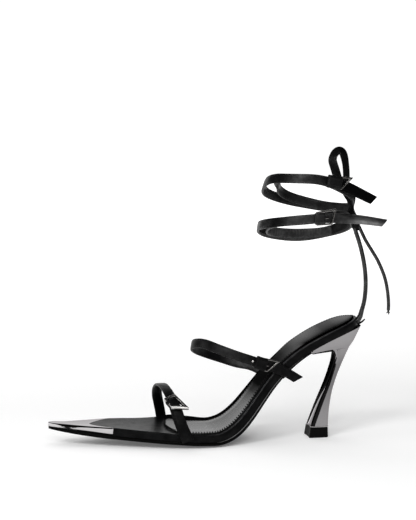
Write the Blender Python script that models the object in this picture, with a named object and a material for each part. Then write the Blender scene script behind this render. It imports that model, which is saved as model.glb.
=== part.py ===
# High-heeled strap sandal for the left foot: a slim arched footbed on a flared metal heel,
# a metal toe cap, and four buckled leather straps, two of them round the ankle on a back tie.
# The toe points to -X, the heel to +X, the outer side of the foot to -Y and up is +Z.
# The origin is where the ball of the sole touches the floor. All sizes are in millimetres.

import math

import bmesh
import bpy
from mathutils import Matrix, Vector
from mathutils.geometry import interpolate_bezier

MM = 0.001
GAP = 0.3


def table(columns, *rows):
    return {name: [row[place] for row in rows] for place, name in enumerate(columns.split())}


# Footbed and outsole, a row for each section along the shoe. The rim is the height of the bed's
# top edge, lateral and medial are its half widths, wall is the height of its side, sole the
# thickness of the outsole and crown how far the middle of the underside hangs below its edges.
BED = table(
    "along rim lateral medial wall sole crown",
    (-108, 18.0, 0.6, 3.4, 2.8, 1.5, 0.2),
    (-104, 17.7, 3.0, 5.4, 3.3, 1.7, 0.3),
    (-98, 17.3, 6.0, 7.6, 4.0, 1.9, 0.5),
    (-80, 16.0, 13.4, 14.2, 5.0, 2.2, 1.2),
    (-60, 14.8, 21.2, 21.0, 5.6, 2.3, 2.0),
    (-35, 13.0, 29.6, 28.6, 5.6, 2.3, 2.6),
    (-12, 11.6, 35.4, 34.4, 5.8, 2.3, 2.9),
    (6, 10.5, 36.8, 35.6, 5.9, 2.3, 2.9),
    (18, 10.4, 35.0, 33.6, 6.3, 2.4, 2.7),
    (25, 12.2, 32.6, 30.8, 7.0, 2.4, 2.4),
    (32, 16.2, 30.0, 27.8, 7.3, 2.3, 2.0),
    (40, 23.6, 27.4, 24.8, 7.2, 2.0, 1.6),
    (50, 36.0, 24.8, 21.8, 7.0, 1.6, 1.2),
    (60, 48.8, 22.8, 19.6, 6.9, 1.4, 0.9),
    (72, 61.4, 21.7, 18.8, 6.9, 1.2, 0.6),
    (86, 72.6, 22.2, 20.0, 6.9, 1.0, 0.3),
    (104, 82.8, 22.9, 22.0, 6.9, 0.9, 0.2),
    (118, 88.9, 21.4, 21.2, 6.9, 0.9, 0.2),
    (128, 92.6, 15.8, 15.8, 6.9, 0.9, 0.2),
    (133, 94.3, 8.6, 8.6, 6.9, 0.9, 0.1),
    (135, 94.9, 2.2, 2.2, 6.9, 0.9, 0.1),
)
BED_STATIONS = 46
BED_EASE = 0.4            # how much closer the sections stand towards both ends
RIM_STEPS = 600           # steps along the rim line when its length is measured
RIM_STEP = 0.5            # half the run over which the rim line's slope is taken
ACROSS_POINTS = 9
SHARP_ANGLE = 35          # edges that turn more than this stay sharp
TOP_DISH = 1.2            # how far the middle of the top lies below its rim
DISH_WIDTH = 60.0         # bed width at which the dish is fully hollowed
RIM_ROUND = 0.8
SIDE_TUCK = 1.0           # how far the side leans in towards the outsole
SOLE_INSET = 1.3
SOLE_START = -106.4
SOLE_END = 91.3           # the outsole stops at the heel's lip

SOCK_THICK = 1.2
SOCK_INSET = 2.8
SOCK_EDGE = 0.3           # lean of the sock's edge
SOCK_FRONT = -16.5
SOCK_ARC = 8.0            # depth of the curved front edge
SOCK_BACK = 132.4
SOCK_BACK_ARC = 9.0
SOCK_ARC_STATIONS = 8
SOCK_ARC_TIP = 0.02       # share of the arc at which its first section stands

CAP_WALL = 1.2
CAP_END = -60.0
CAP_HOLLOW_START = -105.0
NOTCH_TIP = -76.0         # where the leather point ends on top of the cap
NOTCH_HALF = 19.6         # half width of the notch at the end of the cap
NOTCH_POWER = 0.72        # fullness of the leather point
NOTCH_POINTS = 9
NOTCH_BLUNT = 0.05        # half width of the point's blunt tip
ROOM_MARGIN = 4.0         # how far the room cut for the cap runs past the bed
ROOM_STATIONS = 14
CUT_REACH = 20.0          # how far a cutter runs past what it cuts

# Heel, a row for each level. Power is the squareness of its rounded back, hollow is the curve of
# its front face, and wing is the extra half width of the lip at the front of the seat.
HEEL = table(
    "height front back half power hollow wing",
    (8.3, 97.6, 112.1, 8.9, 7.0, 0.6, 0.0),
    (14.5, 99.6, 112.4, 8.6, 7.0, 0.8, 0.0),
    (22.0, 102.4, 113.0, 8.3, 7.0, 0.9, 0.0),
    (30.0, 105.6, 114.2, 8.1, 6.0, 0.9, 0.0),
    (37.0, 108.7, 115.7, 8.0, 5.0, 0.9, 0.0),
    (44.0, 111.6, 117.8, 8.0, 4.5, 0.9, 0.0),
    (50.0, 113.8, 119.9, 8.1, 4.2, 0.9, 0.0),
    (56.0, 115.8, 122.4, 8.4, 4.0, 0.9, 0.0),
    (62.0, 117.5, 125.2, 9.1, 3.6, 0.9, 0.0),
    (66.6, 118.4, 127.7, 10.8, 3.2, 0.6, 0.0),
    (69.0, 117.0, 129.2, 12.8, 3.0, 0.3, 0.0),
    (69.8, 96.5, 129.6, 13.6, 3.0, 0.0, 6.4),
    (72.6, 96.5, 131.0, 16.2, 3.0, 0.0, 4.0),
    (76.5, 96.5, 132.9, 18.8, 3.0, 0.0, 1.8),
    (82.0, 96.5, 135.0, 20.4, 3.0, 0.0, 0.5),
    (94.0, 96.5, 137.8, 20.9, 3.0, 0.0, 0.0),
)
HEEL_SIDE_POINTS = 9
BREAST_POINTS = 5
SEAT_START = 84.0

# Black top lift under the heel, from the floor up.
HEEL_TIP = table(
    "height front back half power hollow wing",
    (0.0, 96.2, 112.3, 9.3, 7.0, 0.6, 0.0),
    (8.0, 97.5, 112.1, 9.0, 7.0, 0.6, 0.0),
)

STRAP_WIDTH = 7.4
STRAP_THICK = 1.8
STRAP_CHAMFER = 0.5
SPAN_STEPS = 3            # sections between two bends of a strap
TAIL_CUT = 0.6            # slope of a loose tail's slanted end

# Toe strap from its lateral to its medial end, a row for each bend: along, across, height.
TOE_STRAP = (
    (-2.6, -38.3, 4.4),
    (-5.4, -38.5, 10.0),
    (-8.8, -38.6, 17.0),
    (-11.4, -37.8, 23.5),
    (-13.4, -35.4, 30.0),
    (-15.4, -29.8, 36.8),
    (-17.8, -20.6, 42.6),
    (-19.6, -10.0, 45.4),
    (-20.6, 1.0, 44.6),
    (-20.6, 12.0, 40.0),
    (-19.0, 22.0, 33.4),
    (-16.4, 30.0, 25.0),
    (-14.2, 34.8, 16.4),
    (-13.0, 36.2, 9.0),
    (-12.6, 35.8, 4.6),
)
TOE_SPINE = ((-60.0, 0.0, 14.0), (30.0, 0.0, 14.0))

# Instep strap from its medial end, round the front, to the loose lateral tail.
INSTEP_STRAP = (
    (67.0, 21.0, 46.6),
    (62.0, 21.9, 50.6),
    (55.0, 25.0, 53.6),
    (45.0, 28.0, 55.4),
    (33.0, 28.4, 58.4),
    (22.0, 24.0, 62.2),
    (11.2, 15.6, 67.4),
    (5.6, 5.0, 72.6),
    (5.6, -6.0, 77.0),
    (11.4, -17.4, 78.2),
    (22.0, -25.0, 74.6),
    (34.0, -28.2, 70.2),
    (46.0, -28.0, 66.0),
    (57.0, -27.0, 62.0),
    (67.0, -26.2, 58.6),
    (75.0, -26.0, 55.0),
    (83.4, -26.2, 49.8),
)
# Short strap from under the lateral side of the bed up to the instep buckle.
INSTEP_ANCHOR = (
    (75.0, -23.4, 52.6),
    (70.6, -23.9, 58.0),
    (65.6, -24.6, 60.4),
    (59.0, -26.0, 61.6),
)
INSTEP_SPINE = ((31.0, 0.0, 69.0), (90.0, 0.0, 46.0))

# Ankle straps, each an oval loop wound twice, a row for each bend. Turned is how far the strap has
# gone round from the buckle, reach is added to the oval's radius.
ANKLE_CENTRE = 94.4
ANKLE_LONG = 36.6
ANKLE_WIDE = 26.4
ANKLE_SPINE = ((ANKLE_CENTRE, 0.0, 100.0), (ANKLE_CENTRE, 0.0, 260.0))
LOOP_START = -75          # angle of the buckle from the back of the ankle
LOOP_STEP = 12
LOWER_LOOP = table(
    "turned reach height",
    (0, 0.2, 174.6),
    (15, 0.0, 174.2),
    (60, 0.4, 171.4),
    (105, 0.6, 167.2),
    (150, 0.4, 160.2),
    (195, 0.0, 156.6),
    (240, 0.0, 159.8),
    (285, 0.0, 167.2),
    (330, -2.5, 173.8),
    (375, -2.8, 174.6),
    (420, -3.4, 172.6),
    (465, -6.6, 166.6),
    (510, -4.6, 161.0),
    (555, -2.8, 158.6),
    (600, -2.8, 161.0),
    (630, -2.8, 165.4),
)
LOWER_TAIL = ((152.6, -20.8, 169.6), (140.0, -22.4, 171.8), (128.0, -24.0, 173.4), (116.0, -25.4, 174.4))
UPPER_LOOP = table(
    "turned reach height",
    (0, 0.2, 203.4),
    (15, 0.0, 205.0),
    (60, -0.6, 205.2),
    (105, -2.6, 199.2),
    (150, -1.0, 190.4),
    (195, 0.0, 183.0),
    (240, 0.0, 179.2),
    (285, 0.0, 180.6),
    (298, 1.6, 187.6),
    (330, -2.5, 196.8),
    (375, -2.8, 204.6),
    (420, -4.6, 205.0),
    (465, -13.0, 202.6),
    (510, -7.0, 194.8),
    (555, -2.8, 185.4),
    (600, -2.8, 180.0),
    (630, -2.8, 179.6),
)
UPPER_TAIL = ((145.6, -14.0, 186.8), (135.0, -17.6, 192.0), (124.0, -21.0, 197.2), (114.0, -24.2, 201.4))

# Bow: one ribbon loop, from behind the upper ankle strap up, round and back.
BOW_WIDTH = 7.0
BOW_THICK = 1.4
BOW = (
    (117.6, -11.4, 199.0),
    (115.6, -11.9, 208.6),
    (113.0, -12.2, 215.4),
    (113.4, -10.8, 222.0),
    (119.1, -6.0, 228.0),
    (124.4, -1.2, 221.4),
    (125.8, -1.0, 212.4),
    (124.8, -4.2, 204.0),
    (122.6, -6.6, 196.6),
)
BOW_SPINE = ((156.0, -41.0, 213.0), (84.0, 28.0, 213.0))

# Buckles: a four-sided frame with one slanted end, and its prong.
BUCKLE_LONG = 18.0
BUCKLE_SHORT = 10.4
BUCKLE_HALF = 5.3
BUCKLE_BAR = 1.7
BUCKLE_THICK = 1.6
BUCKLE_EDGE = 0.3
PRONG_THICK = 1.2
TOE_BUCKLE = 16           # section of the toe strap where its buckle sits
INSTEP_BUCKLE = 37
LOWER_BUCKLE = 2          # section past the tail of an ankle strap
UPPER_BUCKLE = 1

# Leather cord up the back of the heel, and its loose end: along and height, in the middle plane.
TIE_DIAMETER = 3.2
BACK_TIE = (
    (138.8, 89.6),
    (138.5, 93.6),
    (139.9, 98.5),
    (142.2, 106.0),
    (143.2, 114.5),
    (143.3, 123.0),
    (142.6, 131.5),
    (141.2, 140.0),
    (139.3, 148.0),
    (137.2, 155.0),
    (135.0, 161.5),
    (133.9, 168.0),
    (133.7, 175.0),
    (133.7, 182.0),
)
TIE_END_DIAMETER = 2.4
TIE_END = (
    (137.4, 165.8),
    (140.0, 160.4),
    (143.4, 153.8),
    (148.2, 146.2),
    (152.4, 139.4),
    (155.9, 132.2),
    (158.7, 125.0),
    (160.5, 117.8),
    (161.6, 110.6),
    (162.1, 104.2),
    (162.0, 98.6),
)


def read(columns, key, name, at):
    # monotone smooth curve through one column of a table
    keys, values = columns[key], columns[name]
    if at <= keys[0]:
        return values[0]
    if at >= keys[-1]:
        return values[-1]
    place = max(number for number, value in enumerate(keys[:-1]) if value <= at)

    def rise(number):
        return (values[number + 1] - values[number]) / (keys[number + 1] - keys[number])

    def slope(number):
        if number == 0:
            return rise(0)
        if number == len(keys) - 1:
            return rise(number - 1)
        before, after = rise(number - 1), rise(number)
        return 0.0 if before * after <= 0 else 2 * before * after / (before + after)

    span = keys[place + 1] - keys[place]
    part = (at - keys[place]) / span
    start = (1 + 2 * part) * (1 - part) ** 2 * values[place]
    end = part ** 2 * (3 - 2 * part) * values[place + 1]
    lift = part * (1 - part) ** 2 * span * slope(place)
    drop = part ** 2 * (part - 1) * span * slope(place + 1)
    return start + end + lift + drop


def spread(start, end, count):
    return [start + (end - start) * number / (count - 1) for number in range(count)]


def ease(part):
    # closer together towards both ends, where the outline turns fastest
    return (1 - BED_EASE) * part + BED_EASE / 2 * (1 - math.cos(math.pi * part))


def bed_places(start, end):
    # the sections between two places along the shoe, shared by all pieces that lie on each other
    return [start] + [x for x in BED_PLACES if start + 1 < x < end - 1] + [end]


def even_places(count):
    # sections spaced by the length of the rim line, which is longer up the arch
    fine = spread(BED["along"][0], BED["along"][-1], RIM_STEPS)
    lengths = [0.0]
    for low, high in zip(fine, fine[1:]):
        rise = read(BED, "along", "rim", high) - read(BED, "along", "rim", low)
        lengths.append(lengths[-1] + math.hypot(high - low, rise))
    wanted = [lengths[-1] * ease(number / (count - 1)) for number in range(count)]
    return [fine[min(range(len(fine)), key=lambda place: abs(lengths[place] - length))] for length in wanted]


def curve_through(points, steps):
    # smooth curve through the points of a route
    points = [Vector(point) for point in points]
    route = [points[0]]
    for number in range(len(points) - 1):
        first, last = points[number], points[number + 1]
        before = points[max(number - 1, 0)]
        after = points[min(number + 2, len(points) - 1)]
        leave = first + (last - before) / 6
        arrive = last - (after - first) / 6
        route += interpolate_bezier(first, leave, arrive, last, steps + 1)[1:]
    return route


BED_PLACES = even_places(BED_STATIONS)


# Objects, materials and collections

def clear_scene():
    for thing in list(bpy.data.objects):
        bpy.data.objects.remove(thing, do_unlink=True)


def new_collection(name):
    group = bpy.data.collections.new(name)
    bpy.context.scene.collection.children.link(group)
    return group


def finish(name, colour, roughness, metallic):
    material = bpy.data.materials.new(name)
    material.use_nodes = True
    shader = material.node_tree.nodes["Principled BSDF"]
    shader.inputs["Base Color"].default_value = (*colour, 1.0)
    shader.inputs["Roughness"].default_value = roughness
    shader.inputs["Metallic"].default_value = metallic
    return material


def add_object(name, data, group, material=None):
    piece = bpy.data.objects.new(name, data)
    group.objects.link(piece)
    if material:
        data.materials.append(material)
    return piece


def add_cutter(name, data, group):
    cutter = add_object(name, data, group)
    cutter.hide_render = True
    cutter.display_type = "WIRE"
    return cutter


def boolean(piece, cutter, operation="DIFFERENCE"):
    step = piece.modifiers.new(cutter.name, "BOOLEAN")
    step.operation = operation
    step.solver = "EXACT"
    step.object = cutter


def loft(name, rings):
    # closed skin over a row of rings that have the same number of points
    shape = bmesh.new()
    loops = [[shape.verts.new(Vector(point) * MM) for point in ring] for ring in rings]
    for lower, upper in zip(loops, loops[1:]):
        for number in range(len(lower)):
            shape.faces.new((lower[number - 1], lower[number], upper[number], upper[number - 1]))
    shape.faces.new(loops[0])
    shape.faces.new(loops[-1])
    bmesh.ops.recalc_face_normals(shape, faces=shape.faces)
    mesh = bpy.data.meshes.new(name)
    shape.to_mesh(mesh)
    shape.free()
    mesh.shade_smooth()
    mesh.set_sharp_from_angle(angle=math.radians(SHARP_ANGLE))
    return mesh


# Footbed form

def bed_point(x, y, depth):
    # depth is measured square to the rim line, so that the bed keeps its thickness up the arch
    low = max(x - RIM_STEP, BED["along"][0])
    high = min(x + RIM_STEP, BED["along"][-1])
    slope = (read(BED, "along", "rim", high) - read(BED, "along", "rim", low)) / (high - low)
    length = math.hypot(1, slope)
    return Vector((x + slope * depth / length, y, read(BED, "along", "rim", x) - depth / length))


def bed_width(x, inset):
    lateral = read(BED, "along", "lateral", x) - inset
    medial = read(BED, "along", "medial", x) - inset
    return (medial - lateral) / 2, (medial + lateral) / 2


def dish(x):
    return TOP_DISH * min(1, 2 * bed_width(x, 0)[1] / DISH_WIDTH)


def across(x, inset, depth, hang):
    # points from the lateral to the medial edge, hanging towards the middle
    centre, half = bed_width(x, inset)
    return [bed_point(x, centre + half * part, depth + hang * (1 - part ** 2))
            for part in spread(-1, 1, ACROSS_POINTS)]


def bed_ring(x, inset, top, bottom):
    centre, half = bed_width(x, inset)
    crown = read(BED, "along", "crown", x)
    medial_side = [bed_point(x, centre + half, top + RIM_ROUND)]
    lateral_side = [bed_point(x, centre - half, top + RIM_ROUND)]
    over = across(x, inset + RIM_ROUND, top, dish(x))
    under = across(x, inset + SIDE_TUCK, bottom, crown)
    return over + medial_side + under[::-1] + lateral_side


def bed_wall(x):
    return read(BED, "along", "wall", x)


def bed_mesh(name, end):
    return loft(name, [bed_ring(x, 0, 0, bed_wall(x)) for x in bed_places(BED["along"][0], end)])


def cap_hollow_mesh(name, wall):
    rings = [bed_ring(x, wall, wall, bed_wall(x) + CUT_REACH)
             for x in bed_places(CAP_HOLLOW_START, CAP_END + CUT_REACH)]
    return loft(name, rings)


def notch_mesh(name, shrink):
    # upright prism with the outline of the leather point
    length = CAP_END - NOTCH_TIP
    sides = []
    for part in spread(0, 1, NOTCH_POINTS):
        half = max(NOTCH_HALF * part ** NOTCH_POWER - shrink, NOTCH_BLUNT)
        sides.append((NOTCH_TIP + shrink + length * part, half))
    sides.append((CAP_END + CUT_REACH, NOTCH_HALF - shrink))
    outline = [(x, -half) for x, half in sides] + [(x, half) for x, half in reversed(sides)]
    return loft(name, [[(x, y, height) for x, y in outline] for height in (-CUT_REACH, 2 * CUT_REACH)])


def make_footbed(group, cutters, leather):
    bed = add_object("footbed", bed_mesh("footbed", BED["along"][-1]), group, leather)
    room_rings = [bed_ring(x, -ROOM_MARGIN, -ROOM_MARGIN, bed_wall(x) + CUT_REACH / 2)
                  for x in spread(BED["along"][0] - ROOM_MARGIN, CAP_END + GAP, ROOM_STATIONS)]
    room = add_cutter("cap_room", loft("cap_room", room_rings), cutters)
    core = add_cutter("cap_core", cap_hollow_mesh("cap_core", CAP_WALL + GAP), cutters)
    point = add_cutter("leather_point", notch_mesh("leather_point", GAP), cutters)
    boolean(room, core)
    boolean(room, point)
    boolean(bed, room)


def make_toe_cap(group, cutters, metal):
    cap = add_object("toe_cap", bed_mesh("toe_cap", CAP_END), group, metal)
    hollow = add_cutter("cap_hollow", cap_hollow_mesh("cap_hollow", CAP_WALL), cutters)
    notch = add_cutter("cap_notch", notch_mesh("cap_notch", 0), cutters)
    boolean(cap, hollow)
    boolean(cap, notch)


def make_outsole(group, material):
    rings = []
    for x in bed_places(SOLE_START, SOLE_END):
        top = bed_wall(x) + GAP
        crown = read(BED, "along", "crown", x)
        over = across(x, SOLE_INSET, top, crown)
        under = across(x, SOLE_INSET, top + read(BED, "along", "sole", x), crown)
        for point in under:
            point.z = max(point.z, 0.0)
        rings.append(over + under[::-1])
    add_object("outsole", loft("outsole", rings), group, material)


def sock_share(x):
    # part of the full width, drawn in round at the curved front edge and at the back
    front = max(SOCK_FRONT + SOCK_ARC - x, 0) / SOCK_ARC
    back = max(x - SOCK_BACK + SOCK_BACK_ARC, 0) / SOCK_BACK_ARC
    return math.sqrt(1 - front ** 2) * math.sqrt(1 - back ** 2)


def make_sock(group, material):
    first, last = SOCK_FRONT + SOCK_ARC, SOCK_BACK - SOCK_BACK_ARC
    arc = [SOCK_ARC_TIP + (1 - SOCK_ARC_TIP) * part ** 2 for part in spread(0, 1, SOCK_ARC_STATIONS)]
    places = [first - SOCK_ARC * (1 - part) for part in arc]
    places += bed_places(first, last)[1:-1]
    places += [last + SOCK_BACK_ARC * (1 - part) for part in reversed(arc)]
    rings = []
    for x in places:
        bed_half = bed_width(x, 0)[1]
        half = (bed_half - SOCK_INSET) * sock_share(x)
        rest = dish(x) * (half / (bed_half - RIM_ROUND)) ** 2
        depth = dish(x) - rest - GAP
        under = across(x, bed_half - half, depth, rest)
        over = across(x, bed_half - half + SOCK_EDGE * sock_share(x), depth - SOCK_THICK, rest)
        rings.append(over + under[::-1])
    add_object("sock", loft("sock", rings), group, material)


# Heel

def heel_ring(columns, level, height):
    names = ("front", "back", "half", "power", "hollow", "wing")
    front, back, half, power, hollow, wing = (columns[name][level] for name in names)
    side = []
    for turn in spread(0, math.pi / 2, HEEL_SIDE_POINTS):
        part = math.sin(turn) ** (2 / power)
        wide = half * max(math.cos(turn), 0) ** (2 / power) + wing * (1 - part) ** 2
        side.append((front + (back - front) * part, wide))
    breast = [(front + hollow * (1 - part ** 2), (half + wing) * part)
              for part in spread(-1, 1, BREAST_POINTS)[1:-1]]
    outline = side + [(x, -y) for x, y in reversed(side[:-1])] + breast
    return [(x, y, height) for x, y in outline]


def heel_mesh(name, columns):
    return loft(name, [heel_ring(columns, level, height) for level, height in enumerate(columns["height"])])


def seat_mesh(name):
    # the bed's underside, grown by the gap and widened past the heel's sides and back
    rings = []
    for x in bed_places(SEAT_START, BED["along"][-1]):
        depth = bed_wall(x) + GAP
        under = across(x, SIDE_TUCK, depth, read(BED, "along", "crown", x))
        medial = [bed_point(x, CUT_REACH * 2, -CUT_REACH), bed_point(x, CUT_REACH * 2, depth)]
        lateral = [bed_point(x, -CUT_REACH * 2, depth), bed_point(x, -CUT_REACH * 2, -CUT_REACH)]
        rings.append(medial + under[::-1] + lateral)
    onward = (rings[-1][0] - rings[-2][0]).normalized() * CUT_REACH
    rings.append([point + onward for point in rings[-1]])
    return loft(name, rings)


def make_heel(group, cutters, metal):
    heel = add_object("heel", heel_mesh("heel", HEEL), group, metal)
    boolean(heel, add_cutter("heel_seat", seat_mesh("heel_seat"), cutters))


# Straps

def strap_outline(width, thick):
    edge, face, cut = width / 2, thick / 2, STRAP_CHAMFER
    quarter = [(edge - cut, face), (edge, face - cut)]
    half = quarter + [(x, -y) for x, y in reversed(quarter)]
    return half + [(-x, -y) for x, y in half]


def strap_frame(route, number, axis):
    # direction of the strap, the side that faces away from the foot, and across the strap
    before = route[max(number - 1, 0)]
    after = route[min(number + 1, len(route) - 1)]
    forward = (after - before).normalized()
    away = axis(route[number])
    away = (away - forward * away.dot(forward)).normalized()
    return forward, away, forward.cross(away)


def strap_mesh(name, route, axis, width=STRAP_WIDTH, thick=STRAP_THICK, start_cut=0.0, end_cut=0.0):
    rings = []
    for number, point in enumerate(route):
        forward, away, wide = strap_frame(route, number, axis)
        cut = start_cut * (number == 0) + end_cut * (number == len(route) - 1)
        rings.append([point + wide * x + away * y + forward * x * cut
                      for x, y in strap_outline(width, thick)])
    return loft(name, rings)


def from_spine(start, end):
    # away from the nearest point of a line inside the foot or ankle under a strap
    start, end = Vector(start), Vector(end)
    along = end - start

    def away(point):
        part = (point - start).dot(along) / along.length_squared
        return point - start - along * min(max(part, 0), 1)

    return away


def loop_route(loop, tail):
    route = curve_through(tail, SPAN_STEPS)
    for turned in range(0, loop["turned"][-1] + 1, LOOP_STEP):
        angle = math.radians(LOOP_START - turned)
        reach = read(loop, "turned", "reach", turned)
        route.append(Vector((ANKLE_CENTRE + (ANKLE_LONG + reach) * math.cos(angle),
                             (ANKLE_WIDE + reach) * math.sin(angle),
                             read(loop, "turned", "height", turned))))
    return route


# Buckles and cords

def buckle_frame(route, number, axis, flip=1):
    forward, away, wide = strap_frame(route, number, axis)
    lift = STRAP_THICK / 2 + GAP + BUCKLE_THICK / 2
    place = route[number] + away * lift
    turn = Matrix((forward * flip, wide * flip, away)).transposed().to_4x4()
    return Matrix.Translation(place * MM) @ turn


def closed_line(curve, points):
    line = curve.splines.new("POLY")
    line.points.add(len(points) - 1)
    for spot, (x, y) in zip(line.points, points):
        spot.co = (x * MM, y * MM, 0, 1)
    line.use_cyclic_u = True


def make_buckle(name, frame, group, metal):
    curve = bpy.data.curves.new(name, "CURVE")
    curve.dimensions = "2D"
    curve.fill_mode = "BOTH"
    curve.extrude = (BUCKLE_THICK / 2 - BUCKLE_EDGE) * MM
    curve.bevel_depth = BUCKLE_EDGE * MM
    curve.bevel_resolution = 0
    rim = BUCKLE_EDGE
    slant = (BUCKLE_LONG - BUCKLE_SHORT) / (2 * BUCKLE_HALF)
    high = BUCKLE_HALF - BUCKLE_BAR
    end_bar = BUCKLE_BAR * math.hypot(1, slant)
    outer = [(rim, BUCKLE_HALF - rim), (BUCKLE_SHORT - rim, BUCKLE_HALF - rim),
             (BUCKLE_LONG - 2 * rim, -BUCKLE_HALF + rim), (rim, -BUCKLE_HALF + rim)]
    middle = (BUCKLE_SHORT + BUCKLE_LONG) / 2 - end_bar
    inner = [(BUCKLE_BAR - rim, high + rim), (middle - slant * high + rim / 2, high + rim),
             (middle + slant * high + rim, -high - rim), (BUCKLE_BAR - rim, -high - rim)]
    for outline in (outer, inner):
        closed_line(curve, outline)
    add_object(name, curve, group, metal).matrix_world = frame


def make_tube(name, points, diameter, group, material):
    curve = bpy.data.curves.new(name, "CURVE")
    curve.dimensions = "3D"
    curve.bevel_depth = diameter / 2 * MM
    curve.bevel_resolution = 2
    curve.use_fill_caps = True
    line = curve.splines.new("POLY")
    line.points.add(len(points) - 1)
    for spot, point in zip(line.points, points):
        spot.co = (*(Vector(point) * MM), 1)
    return add_object(name, curve, group, material)


def make_prong(name, frame, group, metal):
    slant_middle = (BUCKLE_LONG + BUCKLE_SHORT) / 2
    start = BUCKLE_BAR + 2 * GAP
    end = slant_middle - 2 * BUCKLE_BAR - GAP
    make_tube(name, [(start, 0, 0), (end, 0, 0)], PRONG_THICK, group, metal).matrix_world = frame


def make_cord(name, rows, diameter, group, material):
    route = curve_through([(along, 0, height) for along, height in rows], 1)
    make_tube(name, route, diameter, group, material)


def main():
    clear_scene()
    shoe = new_collection("high_heel_sandal")
    cutters = new_collection("cutters")
    leather = finish("black_leather", (0.012, 0.012, 0.013), 0.45, 0.0)
    lining = finish("grey_leather", (0.10, 0.10, 0.10), 0.5, 0.0)
    resin = finish("black_resin", (0.010, 0.010, 0.010), 0.5, 0.0)
    chrome = finish("dark_chrome", (0.42, 0.42, 0.43), 0.12, 1.0)
    steel = finish("polished_steel", (0.62, 0.62, 0.63), 0.15, 1.0)
    rubber = finish("black_rubber", (0.012, 0.012, 0.012), 0.7, 0.0)

    make_outsole(shoe, resin)
    make_footbed(shoe, cutters, leather)
    make_sock(shoe, lining)
    make_toe_cap(shoe, cutters, chrome)
    make_heel(shoe, cutters, chrome)
    add_object("heel_tip", heel_mesh("heel_tip", HEEL_TIP), shoe, rubber)

    toe_axis = from_spine(*TOE_SPINE)
    toe = curve_through(TOE_STRAP, SPAN_STEPS)
    add_object("toe_strap", strap_mesh("toe_strap", toe, toe_axis), shoe, leather)

    instep_axis = from_spine(*INSTEP_SPINE)
    instep = curve_through(INSTEP_STRAP, SPAN_STEPS)
    instep_mesh = strap_mesh("instep_strap", instep, instep_axis, end_cut=-TAIL_CUT)
    strap = add_object("instep_strap", instep_mesh, shoe, leather)
    anchor_route = curve_through(INSTEP_ANCHOR, SPAN_STEPS)
    anchor = add_cutter("instep_anchor", strap_mesh("instep_anchor", anchor_route, instep_axis), cutters)
    boolean(strap, anchor, "UNION")

    ankle_axis = from_spine(*ANKLE_SPINE)
    lower = loop_route(LOWER_LOOP, LOWER_TAIL)
    upper = loop_route(UPPER_LOOP, UPPER_TAIL)
    for name, route in (("ankle_strap_lower", lower), ("ankle_strap_upper", upper)):
        add_object(name, strap_mesh(name, route, ankle_axis, start_cut=-TAIL_CUT), shoe, leather)

    bow_axis = from_spine(*BOW_SPINE)
    bow = curve_through(BOW, SPAN_STEPS)
    add_object("bow", strap_mesh("bow", bow, bow_axis, BOW_WIDTH, BOW_THICK), shoe, leather)

    tail_steps = (len(LOWER_TAIL) - 1) * SPAN_STEPS
    for name, frame in (
        ("toe", buckle_frame(toe, TOE_BUCKLE, toe_axis, -1)),
        ("instep", buckle_frame(instep, INSTEP_BUCKLE, instep_axis)),
        ("lower", buckle_frame(lower, tail_steps + LOWER_BUCKLE, ankle_axis, -1)),
        ("upper", buckle_frame(upper, tail_steps + UPPER_BUCKLE, ankle_axis, -1)),
    ):
        make_buckle(name + "_buckle", frame, shoe, steel)
        make_prong(name + "_prong", frame, shoe, steel)

    make_cord("back_tie", BACK_TIE, TIE_DIAMETER, shoe, leather)
    make_cord("tie_end", TIE_END, TIE_END_DIAMETER, shoe, leather)


main()
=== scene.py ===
import math

import bmesh
import bpy
import numpy as np
from mathutils import Matrix, Vector
from mathutils.geometry import interpolate_bezier


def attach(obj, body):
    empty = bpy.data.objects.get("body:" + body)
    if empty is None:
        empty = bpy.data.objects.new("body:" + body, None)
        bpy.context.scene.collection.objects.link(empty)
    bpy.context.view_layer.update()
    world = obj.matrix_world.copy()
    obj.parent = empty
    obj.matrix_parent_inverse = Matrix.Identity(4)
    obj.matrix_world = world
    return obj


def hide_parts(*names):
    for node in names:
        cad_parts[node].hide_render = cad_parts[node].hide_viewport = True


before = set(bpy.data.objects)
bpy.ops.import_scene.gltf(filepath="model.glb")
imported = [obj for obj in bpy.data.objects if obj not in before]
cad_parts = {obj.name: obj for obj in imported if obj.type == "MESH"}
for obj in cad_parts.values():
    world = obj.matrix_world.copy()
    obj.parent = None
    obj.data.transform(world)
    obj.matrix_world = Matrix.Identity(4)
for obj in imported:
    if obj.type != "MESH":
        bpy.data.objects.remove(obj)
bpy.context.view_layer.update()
mm = 0.001        # tables are in millimetres, toe towards -X, outer side of the foot towards -Y
scene = bpy.context.scene
print("frame loaded:", len(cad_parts), "nodes")


# Camera, at the photo's viewing angle
view = {"target": (17.27, 0.0, 141.15), "turn": 10.0, "tilt": 6.0, "distance": 1500.0, "lens": 133.96,
        "clip": (0.05, 40.0)}


def makeCamera():
    turn, tilt = math.radians(view["turn"]), math.radians(view["tilt"])
    look = Vector((math.sin(turn) * math.cos(tilt), math.cos(turn) * math.cos(tilt), -math.sin(tilt)))
    lens = bpy.data.cameras.new("photoCamera")
    lens.lens = view["lens"]
    lens.clip_start, lens.clip_end = view["clip"]
    camera = bpy.data.objects.new("photoCamera", lens)
    scene.collection.objects.link(camera)
    camera.location = (Vector(view["target"]) - look * view["distance"]) * mm
    camera.rotation_euler = look.to_track_quat("-Z", "Y").to_euler()
    scene.camera = camera
    print("camera set")


makeCamera()


# Reading tables and drawing lines
curveSteps = 1500        # samples along a smooth curve


def rowsOf(table):
    names = table["columns"].split()
    return {name: [row[place] for row in table["rows"]] for place, name in enumerate(names)}


def between(x, table):
    # the value at x in a table of (place, value) pairs
    return float(np.interp(x, *zip(*table)))


def held(part):
    # a share, held from none to all
    return min(max(part, 0), 1)


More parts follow.
